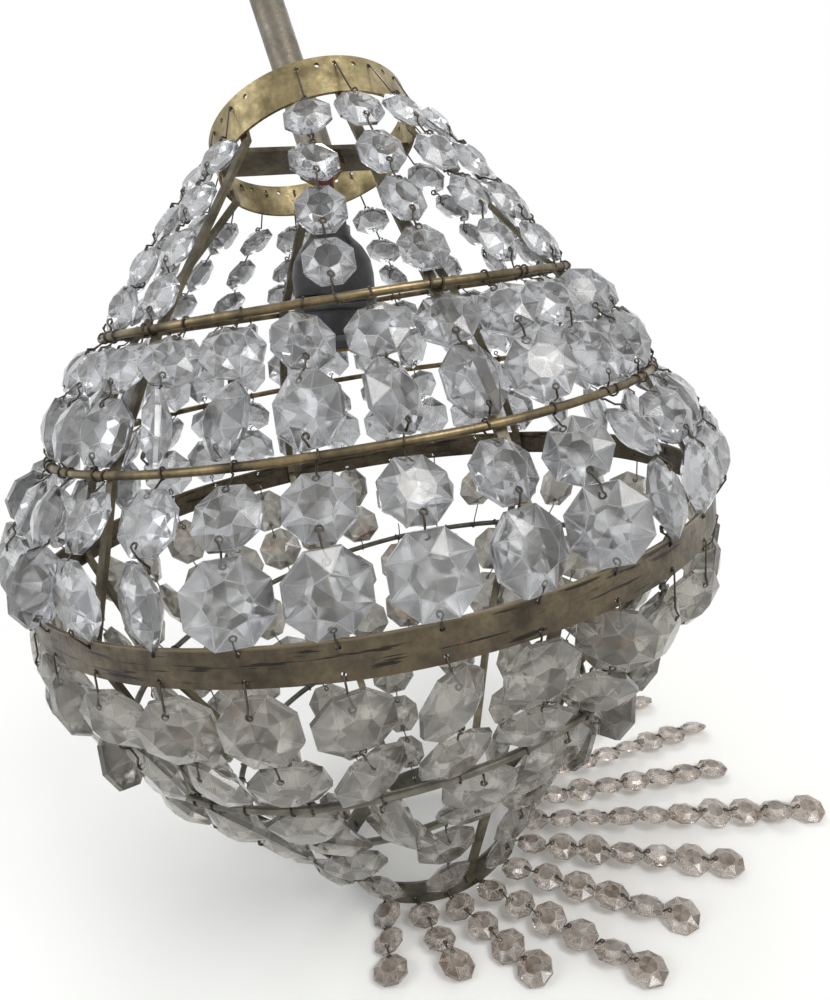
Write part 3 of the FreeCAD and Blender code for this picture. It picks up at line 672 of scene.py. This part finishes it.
def eye_on(crystal, end, radius, lift, side, tilt):
    """A pin's curled eye on a crystal's face, then its way to the crystal's edge at end."""
    way = (end - crystal.middle).normalized()
    face = crystal.face * side
    inset = 0.115 * crystal.size + radius * 0.4
    height = crystal.depth * 0.5 * min(1.0, inset / (0.25 * crystal.size)) + lift
    normal = (face + face.cross(way) * tilt).normalized()
    eye = curl(end - way * inset + face * height, way, normal.cross(way).normalized(), radius,
        start=25, turn=40, steps=9, pitch=normal * 0.07 * MM)
    return eye + [end + face * (0.09 * crystal.depth + lift)]


def round_wire(ring, point, radius, turn):
    """A pin's end wrapped round a hoop's wire."""
    out, _ = ring.spot(point)
    line = ring.middle + out * ring.radius
    along = ring.axis.cross(out)
    first = point - line
    first = (first - along * first.dot(along)).normalized()
    return curl(line, first, along.cross(first) * turn,
        ring.half * HOOPS[ring.name] + radius, start=0, turn=34, steps=10,
        pitch=along * 0.16 * MM)[::-1]


def through_band(ring, point, radius):
    """A pin's end through a band's hole, bent over inside."""
    out, rise = ring.spot(point)
    face = ring.middle + out * ring.radius + ring.axis * rise
    inside = face - out * (WALL + radius * 1.6)
    bend = ring.axis * (-1.0 if rise > 0 else 1.0)
    return [inside + bend * PIN_TAIL, inside + bend * TAIL_BEND, inside,
        face + out * radius * 0.6, face + out * radius * 1.7 - bend * 0.3 * MM]


def swung_eye(ring, swing, far):
    """A pin's eye at its joint, in the plane of the joint's axis, open towards far."""
    pivot, axis = Vector(swing["pos_m"]), Vector(swing["axis"]).normalized()
    way = (far - pivot).normalized()
    # each turn of the curl lies a little further from the band
    pitch = way.cross(axis) * 0.045 * MM
    if pitch.dot(ring.spot(pivot)[0] + ring.axis) < 0:
        pitch.negate()
    return curl(pivot + way * LOOSE_EYE + pitch * 6, -way, axis, LOOSE_EYE, start=180, turn=40,
        steps=10, pitch=pitch)


def staple(ring, swing, far, wire):
    """The wire that holds a swinging pin's eye: bent over inside the band, hooked outside."""
    pivot = Vector(swing["pos_m"])
    out, _ = ring.spot(pivot)
    hangs = ring.axis.dot((far - pivot).normalized()) < -0.7
    turn = ring.axis * (-1.0 if hangs else 1.0) * wire * 0.85
    reach = out.dot(pivot - ring.middle) - ring.radius
    inside = pivot - out * (reach + WALL + wire * 0.8) + turn * 0.4
    return [inside + ring.axis * STAPLE_TAIL, inside + ring.axis * TAIL_BEND, inside,
        pivot - out * reach + turn, pivot + out * wire * 0.7 + turn,
        pivot + out * wire * 1.5 + turn * 0.5, pivot + out * wire * 1.6 - turn * 0.4]


def pin_paths(pins, holds, wire, swing, staples):
    """The run of points of each pin, from one end to the other.

    swing is the joint that the pins' body turns on, if any; the staple that it needs is added
    to staples.
    """
    paths = []
    for number, pin in enumerate(pins):
        halves = []
        for which, point in enumerate(pin):
            ring = min(RINGS.values(), key=lambda ring: ring.gap(point))
            if (number, which) in holds:
                crystal, end = holds[number, which]
                radius = SMALL_EYE if crystal.width < SMALL_CRYSTAL else LARGE_EYE
                chance = noise.random()
                # one eye in five lies behind its crystal
                halves.append(eye_on(crystal, end, LOOSE_EYE if crystal.spear else radius,
                    wire * 0.6, 1.0 if chance < 0.8 else -1.0, 0.5 * (chance - 0.4)))
            elif ring.wire:
                halves.append(round_wire(ring, point, wire * 0.6, 1 if number % 2 else -1))
            elif swing:
                far = pin[1 - which]
                halves.append(swung_eye(ring, swing, far))
                staples.append(staple(ring, swing, far, wire))
            else:
                halves.append(through_band(ring, point, wire / 2))
        paths.append(halves[0] + halves[1][::-1])
    return paths


def wires(name, paths, wire, sides, material, closed=False):
    """Runs of points as one mesh of wire, each open or closed to a hoop."""
    points = []
    edges = []
    for path in paths:
        first = len(points)
        points.extend(path)
        edges.extend((step, step + 1) for step in range(first, len(points) - 1))
        if closed:
            edges.append((len(points) - 1, first))
    return made_by_tree(name, point_mesh(name + "_runs", points, edges), SHARED["wire"],
        {"Wire radius": wire / 2, "Sides": sides, "Material": material})


def pin_wires(name, paths):
    """Runs of points as one mesh of the pins' wire."""
    metal = bpy.context.scene.chandelier_metal
    return wires(name, paths, metal.wire, metal.sides, SHARED["pin"])


# ---- hoops and bands ----
def hoop_path(ring, steps, warp, seed):
    """A closed run of points round a hoop, a little out of true."""
    first, second = ring.ways()
    points = []
    for step in range(steps):
        angle = 2 * math.pi * step / steps
        across, up = math.cos(angle), math.sin(angle)
        sway = noise.noise(Vector((across * 2, up * 2, seed)))
        lift = noise.noise(Vector((across * 2.5, up * 2.5, seed + 7)))
        points.append(ring.middle + (first * across + second * up) * (ring.radius + warp * sway)
            + ring.axis * (warp * lift))
    return points


def band_strip(name, ring, holes, values):
    """A punched band; holes are the ways out from its axis and their levels."""
    turn = Matrix((*ring.ways(), ring.axis)).transposed()
    ways = [turn.transposed() @ way for way, _ in holes]
    points = [way * (ring.radius - WALL / 2) + Vector((0, 0, rise))
        for way, (_, rise) in zip(ways, holes)]
    mesh = point_mesh(name + "_holes", points,
        turn=[way.to_track_quat("Z", "Y").to_euler() for way in ways])
    made = made_by_tree(name, mesh, SHARED["band"], dict(
        values, Radius=ring.radius, Height=2 * ring.half, Wall=WALL,
        Turn=tuple(turn.to_euler()), Place=tuple(ring.middle)))
    corners = [corner.co.z for corner in made.data.vertices]
    if max(corners) < ring.middle.z + ring.half * 0.5 or len(corners) < 16 * len(holes):
        raise RuntimeError(f"the holes of {name} can't be punched")
    return made


# ---- turned pieces ----
# The lampholder's turned pieces, each in place of a CAD node: its finish, the radius of its
# rounded corners, its flats round, its ribs, as how many, how deep, from and to which height,
# and its profile as (radius, height). All are in mm, and heights are from the pivot.
LAMPHOLDER = {
    "lampholder_cap": ("lamp_cap", "dark", 0.9, 72, None, (
        (0, -15.9), (7.3, -15.9), (7.6, -20.9), (9.2, -24.4), (13.2, -28.4), (16.4, -33.9),
        (17.4, -39.9), (17.4, -47.9), (14.9, -47.9), (14.9, -39.9), (0, -32.5))),
    "lampholder_collar": ("lamp_collar", "dark", 0.25, 96, (32, 0.3, -53.4, -48.6), (
        (16.3, -48.0), (17.3, -48.0), (17.7, -48.8), (17.7, -50.3), (16.9, -50.95),
        (17.7, -51.6), (17.7, -53.2), (17.3, -53.9), (16.3, -53.9))),
    "lampholder_body": ("lamp_body", "dark", 0.3, 72, None, (
        (14.0, -48.0), (15.9, -48.0), (15.9, -69.9), (14.0, -69.9))),
    "shade_ring": ("lamp_ring", "dark", 0.3, 96, (36, 0.25, -69.4, -66.1), (
        (16.35, -69.9), (18.3, -69.9), (18.4, -69.3), (18.4, -66.3), (17.4, -64.1),
        (16.35, -64.0))),
    "cord_grip": ("lamp_cord_grip", "dark", 0.4, 40, None, (
        (0, -10.5), (4.3, -10.5), (5.4, -11.2), (5.4, -12.3), (4.4, -13.2), (5.4, -14.0),
        (5.4, -15.2), (4.6, -15.9), (0, -15.9))),
    "lamp_cable": ("lamp_flex", "flex", 0.5, 32, None, (
        (0, 3.7), (1.9, 3.2), (3.3, 1.8), (3.7, 0.2), (3.5, -1.6), (3.5, -10.5), (0, -10.5))),
}


def lamp_axis():
    """The lampholder's pivot and the way up its axis."""
    joint = next(joint for joint in frame["joints"] if joint["name"] == "lamp_swing")
    mount = next(mount for mount in frame["record"]["mounts"] if mount["name"] == "bulb_socket")
    return Vector(joint["pos_m"]), -Vector(mount["axis"]).normalized()


def turned(name, profile, flats, material, ribs):
    """A shape turned round the lampholder's axis; see LAMPHOLDER for its measures."""
    place, up = lamp_axis()
    across = up.orthogonal().normalized()
    side = up.cross(across)
    angles = [2 * math.pi * step / flats for step in range(flats)]
    shape = bmesh.new()
    rings = []
    for radius, height in profile:
        middle = place + up * height * MM
        if radius == 0:
            rings.append([shape.verts.new(middle)])
            continue
        ribbed = ribs and ribs[2] <= height <= ribs[3]
        rings.append([])
        for angle in angles:
            reach = radius
            if ribbed:
                reach += ribs[1] * (0.5 + 0.5 * math.cos(ribs[0] * angle))
            way = across * math.cos(angle) + side * math.sin(angle)
            rings[-1].append(shape.verts.new(middle + way * reach * MM))
    for first, second in zip(rings, rings[1:] + rings[:1]):
        for step in range(flats):
            after = (step + 1) % flats
            corners = [first[step % len(first)], first[after % len(first)],
                second[after % len(second)], second[step % len(second)]]
            corners = list(dict.fromkeys(corners))
            if len(corners) > 2:
                shape.faces.new(corners)
    bmesh.ops.recalc_face_normals(shape, faces=shape.faces)
    mesh = bpy.data.meshes.new(name)
    shape.to_mesh(mesh)
    shape.free()
    mesh.shade_smooth()
    mesh.set_sharp_from_angle(angle=math.radians(40))
    mesh.materials.append(material)
    return put(name, mesh)


def rounded(points, radius, steps=3):
    """A profile with its corners rounded off, apart from those on the axis."""
    result = []
    for place, (across, height) in enumerate(points):
        here = Vector((across, height))
        if across == 0:
            result.append((across, height))
            continue
        first = Vector(points[place - 1]) - here
        second = Vector(points[(place + 1) % len(points)]) - here
        cut = min(radius, first.length * 0.45, second.length * 0.45)
        start = here + first.normalized() * cut
        end = here + second.normalized() * cut
        for step in range(steps + 1):
            share = step / steps
            point = start.lerp(here, share).lerp(here.lerp(end, share), share)
            result.append(tuple(point))
    return result


# ---- settings ----
def colour(code, label, words):
    """A colour property with an sRGB default."""
    return FloatVectorProperty(name=label, description=words, subtype="COLOR", size=3,
        min=0.0, max=1.0, default=linear(code))


def amount(default, low, high, label, words):
    """A plain number's property."""
    return FloatProperty(name=label, description=words, default=default, min=low, max=high)


def length(default, low, high, label, words):
    """A length's property, its values given in mm."""
    return FloatProperty(name=label, description=words, unit="LENGTH", default=default * MM,
        min=low * MM, max=high * MM)


class CrystalSettings(bpy.types.PropertyGroup):
    """Cut and colour of the crystals."""
    table: amount(0.5, 0.2, 0.8, "Table", "The front's flat, as a share of the width")
    back_table: amount(0.34, 0.1, 0.8, "Back", "The back's flat, as a share of the width")
    girdle: amount(0.2, 0.0, 0.6, "Girdle", "The edge's thickness, as a share of the depth")
    sway: FloatProperty(name="Sway", description="How far crystals tilt off their string's line",
        subtype="ANGLE", default=math.radians(13), min=0.0, max=math.radians(30))
    swell: amount(1.1, 1.0, 1.15, "Swell", "How much fuller the strands' crystals are")
    low_swell: amount(1.07, 1.0, 1.1, "Low swell", "The same for the lower rows")
    stain: colour("#8a6444", "Stain", "Rust that has crept into some crystals")


class MetalSettings(bpy.types.PropertyGroup):
    """Colours and bends of the metal frame."""
    wire: length(0.75, 0.3, 1.5, "Pin wire", "Diameter of the pins' wire")
    sides: IntProperty(name="Wire sides", description="Flats round a pin's wire", default=5, min=3)
    hole: length(1.9, 1, 3, "Hole", "Diameter of the bands' holes")
    warp: length(0.5, 0, 2, "Warp", "How far hoops and bands are out of true")
    rust: colour("#7c4a2a", "Rust", "Rust on any of them")


class LampholderSettings(bpy.types.PropertyGroup):
    """Colours of the lampholder."""
    moulding: colour("#1b1a1e", "Moulding", "Dark phenolic")
    scuffed: colour("#3c3a3b", "Scuffed", "The same under dust")
    flex: colour("#5f2f27", "Flex", "The lamp's covered flex")
    flex_worn: colour("#3b2019", "Flex, dark", "Its darker threads")
    ceramic: colour("#d9d2c0", "Ceramic", "The contact block")


class StageSettings(bpy.types.PropertyGroup):
    """Floor, backdrop and lights."""
    floor: colour("#f2f2f0", "Floor", "Colour of the floor")
    reach: length(750, 300, 5000, "Reach", "How far the floor goes")
    key: amount(7.0, 0.0, 100.0, "Key light", "Power of the large light")
    fill: amount(3.0, 0.0, 100.0, "Fill light", "Power of the fill light")
    sky: amount(0.78, 0.0, 10.0, "Sky", "Strength of the even light")


def add_tones(settings, states, **parts):
    """Adds two colours to some settings for each part: its words, and the two defaults."""
    for part, (words, *codes) in parts.items():
        for state, code in zip(states, codes):
            settings.__annotations__[f"{part}_{state}"] = colour(
                code, f"{part} {state}".capitalize(), f"The {state} of the {words}")


# Each part's clear colour is the painted highlight of its bright facets and the colour of its
# frosted edges; its dull colour is the painted shade of its dark facets and the colour of its dust
# film.
add_tones(CrystalSettings, ("clear", "dull"), row=("upper rows' facets", "#ebedf1", "#706f6c"),
          low=("lower rows' facets", "#cfccc4", "#5d594f"),
          strand=("strands' facets", "#f4ece4", "#7a6b5f"))
add_tones(MetalSettings, ("worn", "tarnish"), band=("main band", "#675c48", "#3b3328"),
          crown=("crown band", "#b2a27a", "#6b6044"), hoop=("upper hoops", "#8c7c5c", "#4b4335"),
          low=("lower hoops", "#7d7a6c", "#46443c"), iron=("struts", "#7f765f", "#4a4336"),
          stem=("stem", "#847d72", "#6a6358"), pin=("pins", "#47423c", "#4a4336"),
          contact=("lampholder's contacts", "#b08d4f", "#4b4335"))
SETTINGS = {"chandelier_crystals": CrystalSettings, "chandelier_metal": MetalSettings,
            "chandelier_lampholder": LampholderSettings, "chandelier_stage": StageSettings}


# ---- operators ----
# The trees, cuts and materials that several operators use, by name; see prepare.
SHARED = {}


def prepare(scene):
    """Makes the trees, the two cuts and the shared materials, once."""
    if SHARED:
        return
    glass = scene.chandelier_crystals
    noise.seed_set(7)
    SHARED.update(wire=wire_tree(), strung=strung_tree(), band=band_tree(),
        octagon=octagon_cut(glass.table, glass.back_table, glass.girdle), spear=spear_cut(),
        crystal=cut_crystal("cut lead crystal", "row", 0.12),
        low_crystal=cut_crystal("dusty cut crystal", "low", 0.22, 0.63),
        strand_crystal=cut_crystal("soiled bead crystal", "strand", 0.15, 0.6, 0.6),
        pin=aged_metal("rusted iron wire", "pin", 0.7))


def hang_crystals(rows, pins_node, facing, material, swell=1.0):
    """Replaces some nodes of crystals and their pins by cut crystals and bent wire.

    Returns the staples that hold them at a band, where they swing.
    """
    sway = bpy.context.scene.chandelier_crystals.sway
    swing = next((joint for joint in frame["joints"]
        if joint["name"] == pins_node.replace("pins", "swing")), None)
    crystals, pins, holds = read_strings(rows, pins_node, facing)
    for crystal in sum(crystals.values(), []):
        # one beside its joint keeps its size, so that it clears the band when it swings
        if swing is None or (crystal.middle - Vector(swing["pos_m"])).length > 2 * crystal.size:
            crystal.width *= swell
            crystal.size *= swell
        crystal.tilt(sway)
    for row in rows:
        spears = [crystal for crystal in crystals[row] if crystal.spear]
        octagons = [crystal for crystal in crystals[row] if not crystal.spear]
        hand_over(strung(row.replace("crystals", "glass"), octagons, "octagon", material),
            row, row)
        if spears:
            hand_over(strung(row.replace("crystals", "spear"), spears, "spear", material), row)
    staples = []
    paths = pin_paths(pins, holds, bpy.context.scene.chandelier_metal.wire, swing, staples)
    hand_over(pin_wires(pins_node.replace("pins", "wires"), paths), pins_node, pins_node)
    return staples


def hang_loose(name, band, rows, facing, material, swell=1.0):
    """Hangs pieces that swing, each a node of crystals, and the staples that hold them."""
    held = [hang_crystals([row], row.replace("crystals", "pins"), facing, material, swell)
        for row in rows]
    hand_over(pin_wires(name, sum(held, [])), band)


class CHANDELIER_OT_rows(bpy.types.Operator):
    """Hang the basket's rows of crystals on their pins"""
    bl_idname = "chandelier.rows"
    bl_label = "Rows of crystals"

    def execute(self, context):
        prepare(context.scene)
        for pins, rows in ROWS.items():
            material, swell = "crystal", 1.0
            if pins == "lower_pins":
                material, swell = "low_crystal", context.scene.chandelier_crystals.low_swell
            hang_crystals(rows, pins, outward, material, swell)
        return {"FINISHED"}


class CHANDELIER_OT_drops(bpy.types.Operator):
    """Hang the free drops below the main band"""
    bl_idname = "chandelier.drops"
    bl_label = "Free drops"

    def execute(self, context):
        prepare(context.scene)
        hang_loose("drop_staples", "main_band", DROPS, outward, "low_crystal")
        return {"FINISHED"}


class CHANDELIER_OT_strands(bpy.types.Operator):
    """Lay out the free strands at the bottom band"""
    bl_idname = "chandelier.strands"
    bl_label = "Free strands"

    def execute(self, context):
        prepare(context.scene)
        hang_loose("strand_staples", "bottom_band", STRANDS, upward, "strand_crystal",
            context.scene.chandelier_crystals.swell)
        return {"FINISHED"}


class CHANDELIER_OT_bands(bpy.types.Operator):
    """Roll the three pierced bands"""
    bl_idname = "chandelier.bands"
    bl_label = "Bands"

    def execute(self, context):
        prepare(context.scene)
        metal = context.scene.chandelier_metal
        # the main band's top millimetre is painted pale, partly as rubbed wear and partly as a
        # painted highlight
        top = RINGS["main_band"].middle.z + RINGS["main_band"].half
        rubbed_and_highlit = (top - 1.0 * MM, top - 0.1 * MM)
        finishes = (aged_metal("gilt brass strip", "crown", 0.8),
            aged_metal("brown brass strip", "band", 0.6, scored=0.9, rubbed_and_highlit=rubbed_and_highlit),
            aged_metal("dull brass strip", "low", 0.6))
        nodes = {*ROWS, *(row.replace("crystals", "pins") for row in DROPS + STRANDS)}
        ends = [point for name in sorted(nodes) for pin in pin_ends(name) for point in pin]
        for number, (name, finish) in enumerate(zip(BANDS, finishes)):
            ring = RINGS[name]
            spots = [ring.spot(point) for point in ends if ring.gap(point) < RING_GAP]
            holes = [(way, rise) for way, rise in spots if abs(rise) < ring.half - metal.hole / 2]
            if name == "crown_band":
                # a spare hole between every two that carry a string
                step = Matrix.Rotation(math.pi / len(holes), 3, ring.axis)
                holes += [(step @ way, rise) for way, rise in holes]
            made = band_strip(name.replace("_band", "_strip"), ring, holes, {
                "Hole": metal.hole, "Warp": metal.warp * 2, "Seed": 3.0 * number,
                "Material": finish})
            hand_over(made, name, name)
        return {"FINISHED"}


class CHANDELIER_OT_hoops(bpy.types.Operator):
    """Bend the four wire hoops"""
    bl_idname = "chandelier.hoops"
    bl_label = "Wire hoops"

    def execute(self, context):
        prepare(context.scene)
        metal = context.scene.chandelier_metal
        brass = aged_metal("tarnished brass wire", "hoop", 0.85)
        steel = aged_metal("dull steel wire", "low", 0.6)
        for number, (name, fullness) in enumerate(HOOPS.items()):
            ring = RINGS[name]
            made = wires(name.replace("hoop", "wire_hoop"),
                [hoop_path(ring, 144, metal.warp, 3.0 * number)],
                ring.half * 2 * fullness, 14, brass if number < 2 else steel, closed=True)
            hand_over(made, name, name)
        return {"FINISHED"}


class CHANDELIER_OT_frame(bpy.types.Operator):
    """Give the stem, struts and inner fittings their metals"""
    bl_idname = "chandelier.frame"
    bl_label = "Stem and struts"

    def execute(self, context):
        ceramic = context.scene.chandelier_lampholder.ceramic
        dressed = (
            (aged_metal("blackened iron strip", "iron", 0.6),
             "upper_struts lower_struts crossbar"),
            (aged_metal("worn nickelled tube", "stem", 0.9, "stem_tarnish"), "stem_tube"),
            (aged_metal("contact brass", "contact", 0.9),
             "stem_nipple stem_nut contact_plungers socket_liner"),
            (porcelain("glazed porcelain", ceramic), "contact_block"))
        for finish, nodes in dressed:
            for name in nodes.split():
                mesh = frame["nodes"][name].data
                mesh.materials.clear()
                mesh.materials.append(finish)
        return {"FINISHED"}


class CHANDELIER_OT_lampholder(bpy.types.Operator):
    """Turn the lampholder's mouldings and its flex"""
    bl_idname = "chandelier.lampholder"
    bl_label = "Lampholder"

    def execute(self, context):
        lamp = context.scene.chandelier_lampholder
        finishes = {"dark": dusty_skin("phenolic moulding", lamp.moulding, lamp.scuffed, 0.28),
            "flex": dusty_skin("braided flex", lamp.flex, lamp.flex_worn, 0.7)}
        for node, (name, finish, radius, flats, ribs, profile) in LAMPHOLDER.items():
            made = turned(name, rounded(profile, radius), flats, finishes[finish], ribs)
            hand_over(made, node, node)
        return {"FINISHED"}


class CHANDELIER_OT_stage(bpy.types.Operator):
    """Set the floor, the lights and the photograph's view"""
    bl_idname = "chandelier.stage"
    bl_label = "Stage"

    def execute(self, context):
        scene = context.scene
        stage = scene.chandelier_stage
        reach = stage.reach
        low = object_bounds()[0][2] - 0.2 * MM
        mesh = bpy.data.meshes.new("floor")
        mesh.from_pydata([(x * reach, y * reach, low)
            for x, y in ((-1, -1), (1, -1), (1, 1), (-1, 1))], [], [(0, 1, 2, 3)])
        # matt paint, near white: it shows the shadow, and fades into the backdrop further out
        pale, tree, shader, place = start_material("matt painted floor")
        clouds = blotches(tree, place, 0.4, 0.3, 0.7)
        feed(shader, {
            "Base Color": layer(tree, stage.floor, shade(stage.floor, 0.985), clouds),
            "Roughness": 0.9})
        split = add(tree, "ShaderNodeSeparateXYZ", {0: place}).outputs
        flat = add(tree, "ShaderNodeCombineXYZ", {0: split[0], 1: split[1]})
        out = add(tree, "ShaderNodeVectorMath", {0: flat}, operation="LENGTH")
        fade = add(tree, "ShaderNodeMapRange",
            {"Value": out, "From Min": reach * 0.35, "From Max": reach},
            interpolation_type="SMOOTHSTEP")
        clear = add(tree, "ShaderNodeBsdfTransparent")
        feed(tree.nodes["Material Output"], {
            "Surface": add(tree, "ShaderNodeMixShader", {0: fade, 1: shader, 2: clear})})
        mesh.materials.append(pale)
        floor = put("floor", mesh)
        floor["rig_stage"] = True

        scene.world = bpy.data.worlds.new("sky")
        scene.world.use_nodes = True
        tree = scene.world.node_tree
        rays = add(tree, "ShaderNodeLightPath").outputs
        seen = rays["Is Camera Ray"]
        for kind in ("Is Glossy Ray", "Is Transmission Ray"):
            seen = add(tree, "ShaderNodeMath", {0: seen, 1: rays[kind]}, operation="MAXIMUM")
        strength = add(tree, "ShaderNodeMapRange",
            {"Value": seen, "To Min": stage.sky, "To Max": 1.0})
        feed(tree.nodes["Background"], {"Color": (1, 1, 1), "Strength": strength})

        for name, place, power, size, tint in (
                ("key", (0.5, -0.75, 0.5), stage.key, 0.5, (1.0, 0.99, 0.97)),
                ("fill", (-0.8, -0.4, 0.3), stage.fill, 0.6, (0.93, 0.96, 1.0)),
                ("back", (0.1, 0.8, 0.6), stage.fill, 0.6, (1.0, 1.0, 1.0))):
            light = bpy.data.lights.new(name, "AREA")
            light.energy, light.size, light.color = power, size, tint
            made = put(name, light)
            made.location = place
            aim = Vector((0.01, -0.02, -0.22)) - Vector(place)
            made.rotation_euler = aim.to_track_quat("-Z", "Y").to_euler()

        view = bpy.data.cameras.new("view")
        view.lens, view.sensor_width, view.clip_start = CAMERA_LENS, 36.0, 0.01
        scene.camera = put("view", view)
        turn = Matrix((CAMERA_RIGHT, CAMERA_UP, CAMERA_BACK)).transposed().to_4x4()
        scene.camera.matrix_world = Matrix.Translation(CAMERA_PLACE) @ turn
        scene.view_settings.view_transform = "Standard"
        return {"FINISHED"}


class CHANDELIER_PT_build(bpy.types.Panel):
    """The chandelier's pieces and settings"""
    bl_idname = "CHANDELIER_PT_build"
    bl_label = "Chandelier"
    bl_space_type = "VIEW_3D"
    bl_region_type = "UI"
    bl_category = "Chandelier"

    def draw(self, context):
        layout = self.layout
        for name, group in SETTINGS.items():
            box = layout.box()
            settings = getattr(context.scene, name)
            for key in group.__annotations__:
                box.prop(settings, key)
        for operator in OPERATORS:
            layout.operator(operator.bl_idname)


OPERATORS = (CHANDELIER_OT_frame, CHANDELIER_OT_hoops, CHANDELIER_OT_bands, CHANDELIER_OT_rows,
             CHANDELIER_OT_drops, CHANDELIER_OT_strands, CHANDELIER_OT_lampholder,
             CHANDELIER_OT_stage)


def register():
    for group in (*SETTINGS.values(), *OPERATORS, CHANDELIER_PT_build):
        bpy.utils.register_class(group)
    for name, group in SETTINGS.items():
        setattr(bpy.types.Scene, name, PointerProperty(type=group))


def unregister():
    for name in SETTINGS:
        delattr(bpy.types.Scene, name)
    for group in (CHANDELIER_PT_build, *reversed(OPERATORS), *SETTINGS.values()):
        bpy.utils.unregister_class(group)


def main():
    """Builds every piece."""
    register()
    for operator in OPERATORS:
        getattr(bpy.ops.chandelier, operator.bl_idname.split(".")[1])()


if __name__ == "__main__":
    main()
